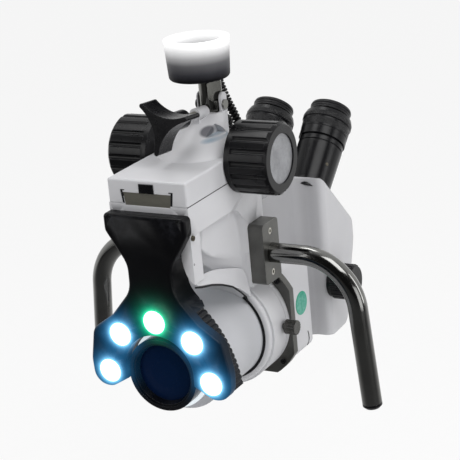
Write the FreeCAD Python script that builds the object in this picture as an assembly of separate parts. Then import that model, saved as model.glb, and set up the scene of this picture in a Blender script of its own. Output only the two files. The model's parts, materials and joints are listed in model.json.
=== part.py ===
import FreeCAD
import Part
import math
import os

Vector = FreeCAD.Vector

# Drawing frame, in mm: X to the right, Y from the patient towards the user, Z up.
# The optical axis is X = 0, Z = 0 and the lamp housing's front face is Y = 0.
# save() moves every solid so that the origin is the middle of the hub bore's mouth.

RUNNING_GAP = 0.06      # radial clearance of a shaft in its bore
SEAT_GAP = 0.05         # radial clearance of a part seated in another
SLIDE_GAP = 0.25        # clearance around the dovetail and between sliding faces

# Hub and swivel post
HUB_Y = 120.0
HUB_TOP = 282.0
HUB_HEIGHT = 37.0
HUB_TOP_RADIUS = 30.0
HUB_FOOT_RADIUS = 27.8
HUB_EDGE = 3.5
HUB_BORE_RADIUS = 24.5
HUB_BORE_DEPTH = 16.0
SCREW_POCKET_RADIUS = 8.6
SCREW_POCKET_DEPTH = 9.0
POST_Y = 136.5
POST_RADIUS = 10.6
JOURNAL_RADIUS = 5.0
BUSH_WALL = 1.6
BUSH_FLANGE_RADIUS = 7.8
BUSH_FLANGE = 1.5
POST_PLAY = 0.4
FACET_Z = 230.4
FACET_DEPTH = 3.0
FACET_RADIUS = 10.0
WASHER_RADIUS = 7.4
WASHER_THICKNESS = 2.0
M5_RADIUS = 2.5

# Tilt hinge and its clamp
TILT_Z = 216.5
TILT_PIN_RADIUS = 3.0
EAR_GAP = 0.3
EAR_THICKNESS = 2.4
EAR_HALF_WIDTH = 5.5
EAR_TOP = 228.0
CUP_GAP = 0.8
WING_FRONT = Vector(0, 44.7, 219.6)
WING_SLOPE = 5.0
WING_TIP_RADIUS = 27.5
WING_TIP_HALF_WIDTH = 2.2
WING_VALLEY_RADIUS = 8.6
WING_ANGLE = 16.5
WING_THICKNESS = 23.6
WING_NECK_RADIUS = 8.5
WING_NECK_END = 39.0
STUD_RADIUS = 3.0
STUD_END = 74.0
PAD_END = 78.0
CLAMP_BOSS_RADIUS = 5.6
CLAMP_BOSS_START = 60.0

# Upper housing
BODY_HALF_WIDTH = 39.8
BODY_FRONT = 10.8
BODY_BACK = 144.0
UPPER_BACK = 152.0
SEAM_Z = 158.4
HOUSING_TOP = 180.6
TOWER_BASE_Y = 100.0
TOWER_BASE_RADIUS = 38.0
COLUMN_RADIUS = 14.0
COLUMN_TOP = 211.0
NOTCH_X = 15.0
NOTCH_Y = 100.0
NOTCH_Z = 196.0
NOTCH_RADIUS = 19.0
CAP_HALF_WIDTH = 7.3
CAP_HEIGHT = 8.2

# Focus drive
FOCUS_Y = 110.7
FOCUS_Z = 175.9
SHAFT_RADIUS = 3.5
SHAFT_BOSS_RADIUS = 7.6
SHAFT_BUSH_RADIUS = 5.0
SHAFT_BUSH_LENGTH = 9.0
GEAR_MODULE = 1.0
PINION_TEETH = 16
PINION_WIDTH = 10.0
TOOTH_PLAY = 0.24
KNOB_START = 40.5
KNOB_SKIRT_END = 46.0
KNOB_SKIRT_RADIUS = 33.0
KNOB_RIB_RADIUS = 33.3
KNOB_RIB_DEPTH = 2.0
KNOB_RIBS = 18
KNOB_CHAMFER_START = 79.5
KNOB_END = 82.3
KNOB_RIM_RADIUS = 30.5
DISC_RADIUS = 22.8
DISC_THICKNESS = 1.5
DISC_SINK = 1.5
DOVETAIL_BASE = 157.0
DOVETAIL_TOP = 168.5
DOVETAIL_BASE_HALF = 22.6
DOVETAIL_TOP_HALF = 24.3
RACK_HALF_WIDTH = 5.5
RACK_FLOOR = 164.0
RACK_LENGTH = 50.0
FOCUS_TRAVEL = 15.0

# Carrier and the optical body
POCKET_DEPTH = 5.8
POCKET_TOP = 131.0
PILLAR_BACK = 27.0
PILLAR_FOOT = 87.0
PILLAR_INNER = 29.0
SADDLE = (
    (38.0, 110.0, 24.0, 104.0),
    (62.0, 95.0, 24.0, 84.0),
    (86.0, 86.5, 25.0, 66.0),
    (113.0, 79.0, 30.0, 34.0),
)       # distance from the front, side line's height, half-width and height of the underside
RING_RADIUS = 53.5
RING_START = 112.0
RING_END = 117.0
OBJECTIVE_RADIUS = 46.0
OBJECTIVE_START = 36.5
OBJECTIVE_SEAM = 114.0
DRUM_RADIUS = 55.6
DRUM_END = 150.0
DRUM_LINE = 143.0
FLANGE_HALF_WIDTH = 57.6
FLANGE_FOOT = -54.0
FLANGE_CORNER_RADIUS = 66.0
FLANGE_THICKNESS = 8.0
SPLITTER_HALF_WIDTH = 41.5
SPLITTER_TOP = 52.0
SPLITTER_FOOT = -54.0
SPLITTER_END = 222.0
SPLITTER_EDGE = 9.0
LIGHT_PATH_RADIUS = 33.0
WINDOW_HALF = 22.0
SPINE_HALF_WIDTH = 28.0
REAR_HALF_WIDTH = 55.0
REAR_START = 238.0
REAR_SLOPE_FOOT = 303.0
REAR_SLOPE = 357.0
SPINE_TOP = 116.0
REAR_FOOT = -48.0
STICKER_Y = 203.0
STICKER_Z = -1.5
STICKER_RADIUS = 11.8
STICKER_THICKNESS = 0.5

# Magnification changer and thumb screw
CHANGER_Y = 249.0
CHANGER_Z = 7.0
CHANGER_SHAFT_RADIUS = 4.0
CHANGER_KNOB_RADIUS = 18.0
CHANGER_KNOB_LENGTH = 24.5
CHANGER_KNOB_RIBS = 24
THUMB_Y = 137.0
THUMB_Z = 1.5
THUMB_STEM_RADIUS = 3.0
THUMB_HEAD_RADIUS = 7.0
THUMB_HEAD_START = 58.5
THUMB_HEAD_END = 70.0
THUMB_DEPTH = 8.0

# Lamp housing
LAMP_TOP = 151.5
LAMP_TOP_HALF_WIDTH = 41.6
LAMP_PLATE_THICKNESS = BODY_FRONT
LAMP_NECK_THICKNESS = 28.5
LAMP_LOBE_THICKNESS = 31.0
LAMP_EDGE = 3.0
LAMP_ARCH_RADIUS = 35.4
LAMP_ARCH_RISE = 4.5
LED_CIRCLE = 52.5
LED_RADIUS = 10.9
LED_DEPTH = 7.0
LED_DOME = 1.6
BOARD_THICKNESS = 1.6

# Objective and the heat sink behind the lamps
BARREL_RADIUS = 34.6
BARREL_FRONT = 3.7
BARREL_LENGTH = 72.0
LENS_RADIUS = 30.4
LENS_SEAT_DEPTH = 14.0
LENS_THICKNESS = 7.0
RETAINER_WALL = 3.4
SPIGOT_RADIUS = 38.0
SPIGOT_FRONT = 20.0
SINK_FRONT = 20.0
SINK_BACK = 36.2
SINK_RADIUS = 64.5
SINK_DEPTH = 1.4
SINK_SCALLOPS = 50
SINK_ROOM = 66.4
SINK_FOOT = -15.0

# Handles
GRIP_BLOCK_START = BODY_HALF_WIDTH
GRIP_BLOCK_END = 55.0
GRIP_BLOCK_FRONT = 112.0
GRIP_BLOCK_BACK = 143.0
GRIP_BLOCK_FOOT = 51.0
GRIP_BLOCK_TOP = 109.3
GRIP_Z = 79.0
GRIP_BAR_RADIUS = 9.3
GRIP_BEND_START = 87.0
GRIP_BEND_RADIUS = 52.0
GRIP_BEND_ANGLE = 85.0
GRIP_END_Z = -65.5
GRIP_CAP_LENGTH = 5.0
GRIP_SCREW_Z = (60.0, 100.0)

# Eyepieces; distances run down each tube from the eyecup's rim
EYE_HALF_SPACING = 32.5
EYE_TOP_Y = 320.0
EYE_TOP_Z = 164.7
EYE_ANGLE = 45.0
EYECUP_RADIUS = 21.0
EYECUP_LENGTH = 9.0
DIOPTER_RADIUS = 25.0
DIOPTER_END = 30.9
DIOPTER_SPIGOT_RADIUS = 17.0
TUBE_RADIUS = 22.75
TUBE_FOOT_RADIUS = 21.3
TUBE_END = 97.0
TUBE_SOCKET = 88.0
EYE_LENS_RADIUS = 14.0

# Cord
CORD_RADIUS = 4.5
GLAND_RADIUS = 6.2
HUB_GLAND_X = -11.0
HUB_GLAND_Z = 258.0
HUB_GLAND_Y = HUB_Y + 28.9
HEAD_GLAND_X = -4.0
HEAD_GLAND_Z = 196.0
HEAD_GLAND_Y = POST_Y + COLUMN_RADIUS + 0.9

ORIGIN = Vector(0, HUB_Y, HUB_TOP)
AXIS = {"X": Vector(1, 0, 0), "Y": Vector(0, 1, 0), "Z": Vector(0, 0, 1)}


def at(axis, level, p, q):
    """Point at a level along an axis; p and q are the other two coordinates in X, Y, Z order."""
    if axis == "X":
        return Vector(level, p, q)
    if axis == "Y":
        return Vector(p, level, q)
    return Vector(p, q, level)


def rod(axis, radius, start, end, p=0.0, q=0.0):
    return Part.makeCylinder(radius, end - start, at(axis, start, p, q), AXIS[axis])


def block(x0, x1, y0, y1, z0, z1):
    return Part.makeBox(x1 - x0, y1 - y0, z1 - z0, Vector(x0, y0, z0))


def outline(points):
    """Closed wire in the XY plane; a point's third value rounds that corner."""
    count = len(points)
    corners = []
    for i in range(count):
        here = Vector(points[i][0], points[i][1], 0)
        radius = points[i][2] if len(points[i]) > 2 else 0.0
        if radius == 0.0:
            corners.append((here, None, here))
            continue
        before = Vector(points[i - 1][0], points[i - 1][1], 0) - here
        after = Vector(points[(i + 1) % count][0], points[(i + 1) % count][1], 0) - here
        half = before.getAngle(after) / 2
        before.normalize()
        after.normalize()
        inward = (before + after).normalize()
        centre = here + inward * (radius / math.sin(half))
        reach = radius / math.tan(half)
        corners.append((here + before * reach, centre - inward * radius, here + after * reach))
    edges = []
    for i in range(count):
        first, middle, last = corners[i]
        if middle is not None:
            edges.append(Part.Arc(first, middle, last).toShape())
        following = corners[(i + 1) % count][0]
        if last.distanceToPoint(following) > 1e-6:
            edges.append(Part.makeLine(last, following))
    return Part.Wire(edges)


def laid_on(axis, shape, level):
    """Moves a flat shape from the XY plane to the plane across an axis."""
    if axis == "X":
        matrix = FreeCAD.Matrix(0, 0, 1, level, 1, 0, 0, 0, 0, 1, 0, 0)
    elif axis == "Y":
        matrix = FreeCAD.Matrix(1, 0, 0, 0, 0, 0, -1, level, 0, 1, 0, 0)
    else:
        matrix = FreeCAD.Matrix(1, 0, 0, 0, 0, 1, 0, 0, 0, 0, 1, level)
    return shape.transformed(matrix)


def prism(axis, points, start, end):
    return swept_flat(axis, outline(points), start, end)


def swept_flat(axis, wire, start, end):
    face = laid_on(axis, Part.Face(wire), start)
    return face.extrude(AXIS[axis] * (end - start))


def turned(points, base, direction):
    """Revolves (radius, distance) points about a line from base along direction."""
    corners = [Vector(r, 0, d) for r, d in points]
    face = Part.Face(Part.makePolygon(corners + corners[:1]))
    solid = face.revolve(Vector(0, 0, 0), AXIS["Z"], 360)
    turn = FreeCAD.Rotation(AXIS["Z"], direction)
    return solid.transformed(FreeCAD.Placement(base, turn).toMatrix())


def lobed(crest, valley, count, crest_share):
    """Closed wire of crests and hollows around the origin."""
    def spot(radius, angle):
        return Vector(radius * math.cos(angle), radius * math.sin(angle), 0)

    step = 2 * math.pi / count
    shoulder = crest if crest_share > 0 else valley
    edges = []
    for i in range(count):
        start = i * step
        if crest_share > 0:
            crest_end = start + step * crest_share
            crest_mid = (start + crest_end) / 2
            hollow_mid = (crest_end + start + step) / 2
            edges.append(Part.Arc(spot(crest, start), spot(crest, crest_mid), spot(crest, crest_end)).toShape())
            edges.append(
                Part.Arc(spot(crest, crest_end), spot(valley, hollow_mid), spot(crest, start + step)).toShape()
            )
        else:
            ends = (spot(shoulder, start), spot(shoulder, start + step))
            edges.append(Part.Arc(ends[0], spot(crest, start + step / 2), ends[1]).toShape())
    return Part.Wire(edges)


def lobed_rod(axis, wire, start, end, p=0.0, q=0.0):
    solid = swept_flat(axis, wire, start, end)
    return solid.translated(at(axis, 0, p, q))


def mirrored(shape):
    return shape.mirror(Vector(0, 0, 0), AXIS["X"])


def rounded(shape, radius, wanted):
    return shape.makeFillet(radius, [edge for edge in shape.Edges if wanted(edge.BoundBox)])


def joined(shapes):
    """One solid out of touching shapes."""
    return shapes[0].multiFuse(shapes[1:]).removeSplitter()


def save(name, shape, solids=1):
    moved = shape.translated(-ORIGIN)
    if len(moved.Solids) != solids:
        raise ValueError(name + " has " + str(len(moved.Solids)) + " solids")
    moved.exportStep(os.path.join("parts", name + ".step"))


def socket_screw(axis, sign, seat, p, q, shank_radius, shank, head_radius, head):
    """Socket head screw; the seat is the head's underside and sign points out of the head."""
    base = at(axis, seat, p, q)
    outward = AXIS[axis] * sign
    body = Part.makeCylinder(head_radius, head, base, outward)
    body = body.fuse(Part.makeCylinder(shank_radius, shank, base, outward * -1))
    socket_base = base + outward * (head * 0.45)
    corners = []
    for i in range(6):
        turn = math.radians(60 * i)
        side, rise = head_radius * 0.5 * math.cos(turn), head_radius * 0.5 * math.sin(turn)
        corners.append(socket_base + at(axis, 0, side, rise))
    hexagon = Part.Face(Part.makePolygon(corners + corners[:1]))
    return body.cut(hexagon.extrude(outward * head))


# Hub

def make_hub():
    floor = HUB_TOP - HUB_BORE_DEPTH
    foot = HUB_TOP - HUB_HEIGHT
    bush_end = floor - SCREW_POCKET_DEPTH
    bush_radius = JOURNAL_RADIUS + RUNNING_GAP + BUSH_WALL
    stem_start = POST_Y + bush_radius
    profile = [
        (0, foot),
        (HUB_FOOT_RADIUS, foot),
        (HUB_TOP_RADIUS, HUB_TOP),
        (HUB_BORE_RADIUS, HUB_TOP),
        (HUB_BORE_RADIUS, floor),
        (0, floor),
    ]
    hub = turned(profile, Vector(0, HUB_Y, 0), AXIS["Z"])
    hub = rounded(hub, HUB_EDGE, lambda box: box.ZMax < foot + 0.1 and box.XLength > 50)
    hub = hub.cut(rod("Z", SCREW_POCKET_RADIUS, bush_end, floor + 1, 0, POST_Y))
    hub = hub.cut(rod("Z", bush_radius, foot - 1, floor, 0, POST_Y))
    stem_radius = GLAND_RADIUS - 2.2
    hole = rod("Y", stem_radius + SEAT_GAP, stem_start - 0.4, HUB_Y + 40, HUB_GLAND_X, HUB_GLAND_Z)
    save("suspension_hub", hub.cut(hole))

    sleeve = rod("Z", bush_radius - SEAT_GAP, foot, bush_end + BUSH_FLANGE, 0, POST_Y)
    collar = rod("Z", BUSH_FLANGE_RADIUS, bush_end, bush_end + BUSH_FLANGE, 0, POST_Y)
    bore = rod("Z", JOURNAL_RADIUS + RUNNING_GAP, foot - 1, floor, 0, POST_Y)
    save("swivel_bush", sleeve.fuse(collar).cut(bore).removeSplitter())

    stem = rod("Y", stem_radius, stem_start, HUB_GLAND_Y, HUB_GLAND_X, HUB_GLAND_Z)
    save("cord_gland_hub", gland(stem, Vector(HUB_GLAND_X, HUB_GLAND_Y, HUB_GLAND_Z)))


def gland(stem, base):
    """Tapered sleeve that grips the cord's end, with a stem that screws into the wall."""
    profile = [
        (0, -0.5),
        (GLAND_RADIUS + 0.6, -0.5),
        (GLAND_RADIUS + 0.6, 2.5),
        (GLAND_RADIUS, 2.5),
        (CORD_RADIUS + 0.9, 8.0),
        (CORD_RADIUS + SEAT_GAP, 8.0),
        (CORD_RADIUS + SEAT_GAP, 2.5),
        (0, 2.5),
    ]
    return turned(profile, base, AXIS["Y"]).fuse(stem).removeSplitter()


def make_post():
    foot = HUB_TOP - HUB_HEIGHT
    shoulder = foot - POST_PLAY
    journal_end = HUB_TOP - HUB_BORE_DEPTH - SCREW_POCKET_DEPTH + BUSH_FLANGE + 0.1
    shaft = rod("Z", POST_RADIUS, TILT_Z - POST_RADIUS - 1, shoulder, 0, POST_Y)
    above = block(-20, 20, POST_Y - 20, POST_Y + 20, TILT_Z, shoulder)
    rounding = rod("X", POST_RADIUS + 0.15, -20, 20, POST_Y, TILT_Z)
    post = shaft.common(above.fuse(rounding).removeSplitter())
    post = post.fuse(rod("Z", JOURNAL_RADIUS, shoulder, journal_end, 0, POST_Y))
    facing = Vector(math.cos(math.radians(30)), -math.sin(math.radians(30)), 0)
    facet_base = Vector(0, POST_Y, FACET_Z) + facing * (POST_RADIUS - FACET_DEPTH)
    post = post.cut(Part.makeCylinder(FACET_RADIUS, 10, facet_base, facing))
    post = post.cut(rod("X", TILT_PIN_RADIUS + RUNNING_GAP, -20, 20, POST_Y, TILT_Z))
    post = post.cut(rod("Z", M5_RADIUS + SEAT_GAP, journal_end - 14, journal_end + 1, 0, POST_Y))
    save("swivel_post", post)

    washer = rod("Z", WASHER_RADIUS, journal_end, journal_end + WASHER_THICKNESS, 0, POST_Y)
    save("swivel_washer", washer.cut(rod("Z", M5_RADIUS + 0.2, foot, HUB_TOP, 0, POST_Y)))
    seat = journal_end + WASHER_THICKNESS
    save("swivel_screw", socket_screw("Z", 1, seat, 0, POST_Y, M5_RADIUS, 14, 4.2, 3.8))


# Clamp with three wings

def wing_axis():
    slope = math.radians(WING_SLOPE)
    return Vector(0, math.cos(slope), -math.sin(slope))


def along_wing(radius, start, end):
    inward = wing_axis()
    return Part.makeCylinder(radius, end - start, WING_FRONT + inward * start, inward)


def make_wing_knob():
    def spot(along, across, angle):
        turn = math.radians(angle)
        x = along * math.cos(turn) - across * math.sin(turn)
        y = along * math.sin(turn) + across * math.cos(turn)
        return Vector(x, y, 0)

    shoulder = WING_TIP_RADIUS - WING_TIP_HALF_WIDTH
    edges = []
    for i in range(3):
        angle = WING_ANGLE + 120 * i
        first = spot(shoulder, -WING_TIP_HALF_WIDTH, angle)
        last = spot(shoulder, WING_TIP_HALF_WIDTH, angle)
        following = spot(shoulder, -WING_TIP_HALF_WIDTH, angle + 120)
        edges.append(Part.Arc(first, spot(WING_TIP_RADIUS, 0, angle), last).toShape())
        edges.append(Part.Arc(last, spot(WING_VALLEY_RADIUS, 0, angle + 60), following).toShape())
    inward = wing_axis()
    grip = swept_flat("Y", Part.Wire(edges), 0, WING_THICKNESS)
    grip.rotate(Vector(0, 0, 0), AXIS["X"], -WING_SLOPE)
    grip.translate(WING_FRONT)
    knob = grip.fuse(along_wing(WING_NECK_RADIUS, WING_THICKNESS - 2, WING_NECK_END))
    knob = knob.cut(along_wing(STUD_RADIUS - RUNNING_GAP + 0.02, WING_THICKNESS - 6, WING_NECK_END + 1))
    save("wing_knob", knob.removeSplitter())
    save("wing_stud", along_wing(STUD_RADIUS - RUNNING_GAP, WING_THICKNESS - 6, STUD_END))
    save("brake_pad", along_wing(STUD_RADIUS - RUNNING_GAP, STUD_END + 0.1, PAD_END))
    return inward


# Upper housing with the tower

def dovetail_outline(gap):
    slope = (DOVETAIL_TOP_HALF - DOVETAIL_BASE_HALF) / (DOVETAIL_TOP - DOVETAIL_BASE)
    low, high = DOVETAIL_BASE - (3 if gap else 0), DOVETAIL_TOP + gap
    low_half = DOVETAIL_BASE_HALF + slope * (low - DOVETAIL_BASE) + gap
    high_half = DOVETAIL_TOP_HALF + slope * (high - DOVETAIL_TOP) + gap
    return [(-low_half, low), (low_half, low), (high_half, high), (-high_half, high)]


def make_tower():
    base_circles = [
        (HOUSING_TOP - 4, TOWER_BASE_Y, TOWER_BASE_RADIUS),
        (HOUSING_TOP + 2.5, TOWER_BASE_Y + 1, TOWER_BASE_RADIUS - 4),
        (HOUSING_TOP + 9, TOWER_BASE_Y + 6, TOWER_BASE_RADIUS - 9.5),
        (HOUSING_TOP + 16, TOWER_BASE_Y + 13, TOWER_BASE_RADIUS - 14.5),
        (HOUSING_TOP + 23, TOWER_BASE_Y + 21.5, TOWER_BASE_RADIUS - 19),
        (COLUMN_TOP, POST_Y - 3, COLUMN_RADIUS + 0.9),
    ]
    wires = [Part.Wire(Part.makeCircle(r, Vector(0, y, z))) for z, y, r in base_circles]
    flare = Part.makeLoft(wires, True, False)
    column = rod("Z", COLUMN_RADIUS, HOUSING_TOP, COLUMN_TOP, 0, POST_Y)
    ear_side = [
        (POST_Y - EAR_HALF_WIDTH, COLUMN_TOP - 6),
        (POST_Y + EAR_HALF_WIDTH, COLUMN_TOP - 6),
        (POST_Y + EAR_HALF_WIDTH, EAR_TOP, EAR_HALF_WIDTH - 0.1),
        (POST_Y - EAR_HALF_WIDTH, EAR_TOP, EAR_HALF_WIDTH - 0.1),
    ]
    inner = POST_RADIUS + EAR_GAP
    near_ear = prism("X", ear_side, inner - 1, inner + EAR_THICKNESS)
    far_ear = prism("X", ear_side, -inner - EAR_THICKNESS + 1, -inner + 1)
    boss = along_wing(CLAMP_BOSS_RADIUS, CLAMP_BOSS_START, PAD_END)
    web = prism("X", [(106, 196), (POST_Y - 8, 196), (POST_Y - 8, 213), (106, 213)], -3, 3)
    tower = joined([flare, column, near_ear, far_ear, boss, web])
    cup = rod("X", POST_RADIUS + CUP_GAP, -inner, inner, POST_Y, TILT_Z)
    lane = block(-inner, inner, POST_Y - POST_RADIUS - CUP_GAP, POST_Y + 25, TILT_Z, TILT_Z + 30)
    behind = block(-inner, inner, POST_Y, POST_Y + 25, TILT_Z - POST_RADIUS - CUP_GAP, TILT_Z + 1)
    tower = tower.cut(cup).cut(lane).cut(behind)
    tower = tower.cut(rod("X", TILT_PIN_RADIUS + SEAT_GAP, -20, 20, POST_Y, TILT_Z))
    tower = tower.cut(along_wing(STUD_RADIUS, CLAMP_BOSS_START - 1, PAD_END + 8))
    arch = rod("X", NOTCH_RADIUS, NOTCH_X, 45, NOTCH_Y, NOTCH_Z - 6)
    notch = arch.common(block(0, 50, NOTCH_Y - 40, NOTCH_Y + 40, NOTCH_Z, NOTCH_Z + 40))
    return tower.cut(notch).cut(mirrored(notch))


def make_upper_housing():
    box = block(-BODY_HALF_WIDTH, BODY_HALF_WIDTH, BODY_FRONT, UPPER_BACK, SEAM_Z + SLIDE_GAP / 2, HOUSING_TOP)
    box = rounded(box, 2.0, lambda b: b.ZMin > HOUSING_TOP - 0.1 or b.ZLength > 20)
    inner = BODY_HALF_WIDTH - 14
    bosses = [
        rod("X", SHAFT_BOSS_RADIUS, inner, BODY_HALF_WIDTH, FOCUS_Y, FOCUS_Z),
        rod("X", SHAFT_BOSS_RADIUS, -BODY_HALF_WIDTH, -inner, FOCUS_Y, FOCUS_Z),
    ]
    housing = joined([box, make_tower()] + bosses)
    tip = GEAR_MODULE * (PINION_TEETH / 2 + 1)
    bush_inner = BODY_HALF_WIDTH - SHAFT_BUSH_LENGTH
    cuts = [
        prism("Y", dovetail_outline(SLIDE_GAP), BODY_FRONT - 1, UPPER_BACK + 1),
        block(-6, 6, BODY_FRONT - 1, UPPER_BACK + 1, DOVETAIL_TOP - 1, DOVETAIL_TOP + 1.1),
        rod("X", tip + 0.8, -PINION_WIDTH / 2 - 1, PINION_WIDTH / 2 + 1, FOCUS_Y, FOCUS_Z),
        rod("X", SHAFT_RADIUS + 0.4, -60, 60, FOCUS_Y, FOCUS_Z),
        rod("X", SHAFT_BUSH_RADIUS + SEAT_GAP, bush_inner, 60, FOCUS_Y, FOCUS_Z),
        rod("X", SHAFT_BUSH_RADIUS + SEAT_GAP, -60, -bush_inner, FOCUS_Y, FOCUS_Z),
        front_cap(SEAT_GAP),
        rod("Y", GLAND_RADIUS - 2.2 + SEAT_GAP, POST_Y + 4, POST_Y + 30, HEAD_GLAND_X, HEAD_GLAND_Z),
    ]
    for cut in cuts:
        housing = housing.cut(cut)
    save("upper_housing", housing)

    ear = POST_RADIUS + EAR_GAP + EAR_THICKNESS
    pin = rod("X", TILT_PIN_RADIUS, -ear - 2.2, ear + 1.0, POST_Y, TILT_Z)
    pin = pin.fuse(rod("X", TILT_PIN_RADIUS + 1.6, ear, ear + 1.8, POST_Y, TILT_Z)).removeSplitter()
    save("tilt_pin", pin)
    ring = rod("X", TILT_PIN_RADIUS + 1.6, -ear - 1.4, -ear - 0.1, POST_Y, TILT_Z)
    save("pin_ring", ring.cut(rod("X", TILT_PIN_RADIUS, -ear - 3, -ear + 1, POST_Y, TILT_Z)))
    save("front_cap", front_cap(0))

    bush = rod("X", SHAFT_BUSH_RADIUS, bush_inner, BODY_HALF_WIDTH + 0.3, FOCUS_Y, FOCUS_Z)
    bush = bush.cut(rod("X", SHAFT_RADIUS + RUNNING_GAP, 0, 60, FOCUS_Y, FOCUS_Z))
    save("shaft_bushes", Part.makeCompound([bush, mirrored(bush)]), 2)

    stem = rod("Y", GLAND_RADIUS - 2.2, POST_Y + 4.5, HEAD_GLAND_Y, HEAD_GLAND_X, HEAD_GLAND_Z)
    save("cord_gland_head", gland(stem, Vector(HEAD_GLAND_X, HEAD_GLAND_Y, HEAD_GLAND_Z)))


def front_cap(gap):
    half = CAP_HALF_WIDTH + gap
    foot = DOVETAIL_TOP + 0.3
    return block(-half, half, BODY_FRONT - 0.8, BODY_FRONT + 6 + gap, foot - gap, foot + CAP_HEIGHT + gap)


# Focus drive

def gear_wire():
    """Spur gear outline with straight flank pieces; a gap points along -Y."""
    pitch = GEAR_MODULE * PINION_TEETH / 2
    root, tip = pitch - 1.25 * GEAR_MODULE, pitch + GEAR_MODULE
    base = pitch * math.cos(math.radians(20))
    thickness = math.pi * GEAR_MODULE / 2 - TOOTH_PLAY

    def flank(radius):
        roll = math.sqrt(max((radius / base) ** 2 - 1, 0))
        return roll - math.atan(roll)

    half_at_pitch = thickness / 2 / pitch
    points = []
    for i in range(PINION_TEETH):
        middle = -math.pi / 2 + (i + 0.5) * 2 * math.pi / PINION_TEETH
        side = []
        for radius in (root, base + 0.05, pitch, pitch + 0.55 * GEAR_MODULE, tip):
            half = half_at_pitch + flank(pitch) - flank(radius)
            side.append((radius, half))
        for radius, half in side:
            points.append((radius * math.cos(middle - half), radius * math.sin(middle - half)))
        for radius, half in reversed(side):
            points.append((radius * math.cos(middle + half), radius * math.sin(middle + half)))
    return outline(points)


def make_rack():
    pitch_line = FOCUS_Z - GEAR_MODULE * PINION_TEETH / 2
    pitch = math.pi * GEAR_MODULE
    root, tip = pitch_line - 1.25 * GEAR_MODULE, pitch_line + 0.9 * GEAR_MODULE
    half = (pitch / 2 - TOOTH_PLAY) / 2
    lean = math.tan(math.radians(20))
    count = int(RACK_LENGTH / pitch)
    start = FOCUS_Y - (count // 2) * pitch
    points = [(start - pitch / 2, RACK_FLOOR), (start - pitch / 2, root)]
    for i in range(count):
        middle = start + i * pitch
        foot_half = half + (pitch_line - root) * lean
        tip_half = half - (tip - pitch_line) * lean
        points += [(middle - foot_half, root), (middle - tip_half, tip)]
        points += [(middle + tip_half, tip), (middle + foot_half, root)]
    end = start + (count - 0.5) * pitch
    points += [(end, root), (end, RACK_FLOOR)]
    save("focus_rack", prism("X", points, -RACK_HALF_WIDTH + 0.05, RACK_HALF_WIDTH - 0.05))
    return start - pitch / 2, end


def make_focus_drive():
    rack_start, rack_end = make_rack()
    slide = prism("Y", dovetail_outline(0), BODY_FRONT + 0.4, BODY_BACK - 0.4)
    slide = slide.cut(
        block(-RACK_HALF_WIDTH, RACK_HALF_WIDTH, rack_start - 0.1, rack_end + 0.1, RACK_FLOOR, DOVETAIL_TOP + 1)
    )
    screws = []
    for y in (26.0, 60.0):
        slide = slide.cut(rod("Z", 3.6, DOVETAIL_TOP - 4.5, DOVETAIL_TOP + 1, 0, y))
        slide = slide.cut(rod("Z", 2.05, DOVETAIL_BASE - 1, DOVETAIL_TOP, 0, y))
        screws.append(socket_screw("Z", 1, DOVETAIL_TOP - 4.5, 0, y, 2.0, 16, 3.5, 4.0))
    save("dovetail_slide", slide)
    save("dovetail_screws", Part.makeCompound(screws), 2)

    shaft_end = KNOB_END - DISC_SINK - DISC_THICKNESS - 1
    save("focus_shaft", rod("X", SHAFT_RADIUS, -shaft_end, shaft_end, FOCUS_Y, FOCUS_Z))
    pinion = lobed_rod("X", gear_wire(), -PINION_WIDTH / 2, PINION_WIDTH / 2, FOCUS_Y, FOCUS_Z)
    save("focus_pinion", pinion.cut(rod("X", SHAFT_RADIUS + 0.02, -20, 20, FOCUS_Y, FOCUS_Z)))

    skirt = rod("X", KNOB_SKIRT_RADIUS, KNOB_START, KNOB_SKIRT_END, FOCUS_Y, FOCUS_Z)
    ribs = lobed(KNOB_RIB_RADIUS, KNOB_RIB_RADIUS - KNOB_RIB_DEPTH, KNOB_RIBS, 0.55)
    grip = lobed_rod("X", ribs, KNOB_SKIRT_END - 1, KNOB_END, FOCUS_Y, FOCUS_Z)
    envelope = [
        (0, KNOB_START),
        (KNOB_RIB_RADIUS + 1, KNOB_START),
        (KNOB_RIB_RADIUS + 1, KNOB_CHAMFER_START - 1),
        (KNOB_RIM_RADIUS, KNOB_END),
        (0, KNOB_END),
    ]
    grip = grip.common(turned(envelope, Vector(0, FOCUS_Y, FOCUS_Z), AXIS["X"]))
    recess = KNOB_END - DISC_SINK - DISC_THICKNESS
    knob = skirt.fuse(grip)
    knob = knob.cut(rod("X", DISC_RADIUS + SEAT_GAP, recess, KNOB_END + 1, FOCUS_Y, FOCUS_Z))
    knob = knob.cut(rod("X", SHAFT_RADIUS + 0.02, KNOB_START - 1, shaft_end, FOCUS_Y, FOCUS_Z)).removeSplitter()
    save("focus_knob_right", knob)
    save("focus_knob_left", mirrored(knob))
    disc = rod("X", DISC_RADIUS, recess, recess + DISC_THICKNESS, FOCUS_Y, FOCUS_Z)
    save("knob_discs", Part.makeCompound([disc, mirrored(disc)]), 2)


# Carrier

def saddle_section(y, line_z, foot_x, foot_z):
    """Cross-section of the web that narrows from the pocket floors down to the ring."""
    side = BODY_HALF_WIDTH - POCKET_DEPTH
    corner, foot = Vector(side, y, line_z), Vector(foot_x, y, foot_z)
    waist = Vector(foot_x + (side - foot_x) * 0.22, y, foot_z + (line_z - foot_z) * 0.42)
    top = Vector(side, y, POCKET_TOP + 1)

    def flip(point):
        return Vector(-point.x, point.y, point.z)

    edges = [
        Part.makeLine(flip(top), top),
        Part.makeLine(top, corner),
        Part.Arc(corner, waist, foot).toShape(),
        Part.makeLine(foot, flip(foot)),
        Part.Arc(flip(foot), flip(waist), flip(corner)).toShape(),
        Part.makeLine(flip(corner), flip(top)),
    ]
    return Part.Wire(edges)


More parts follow.
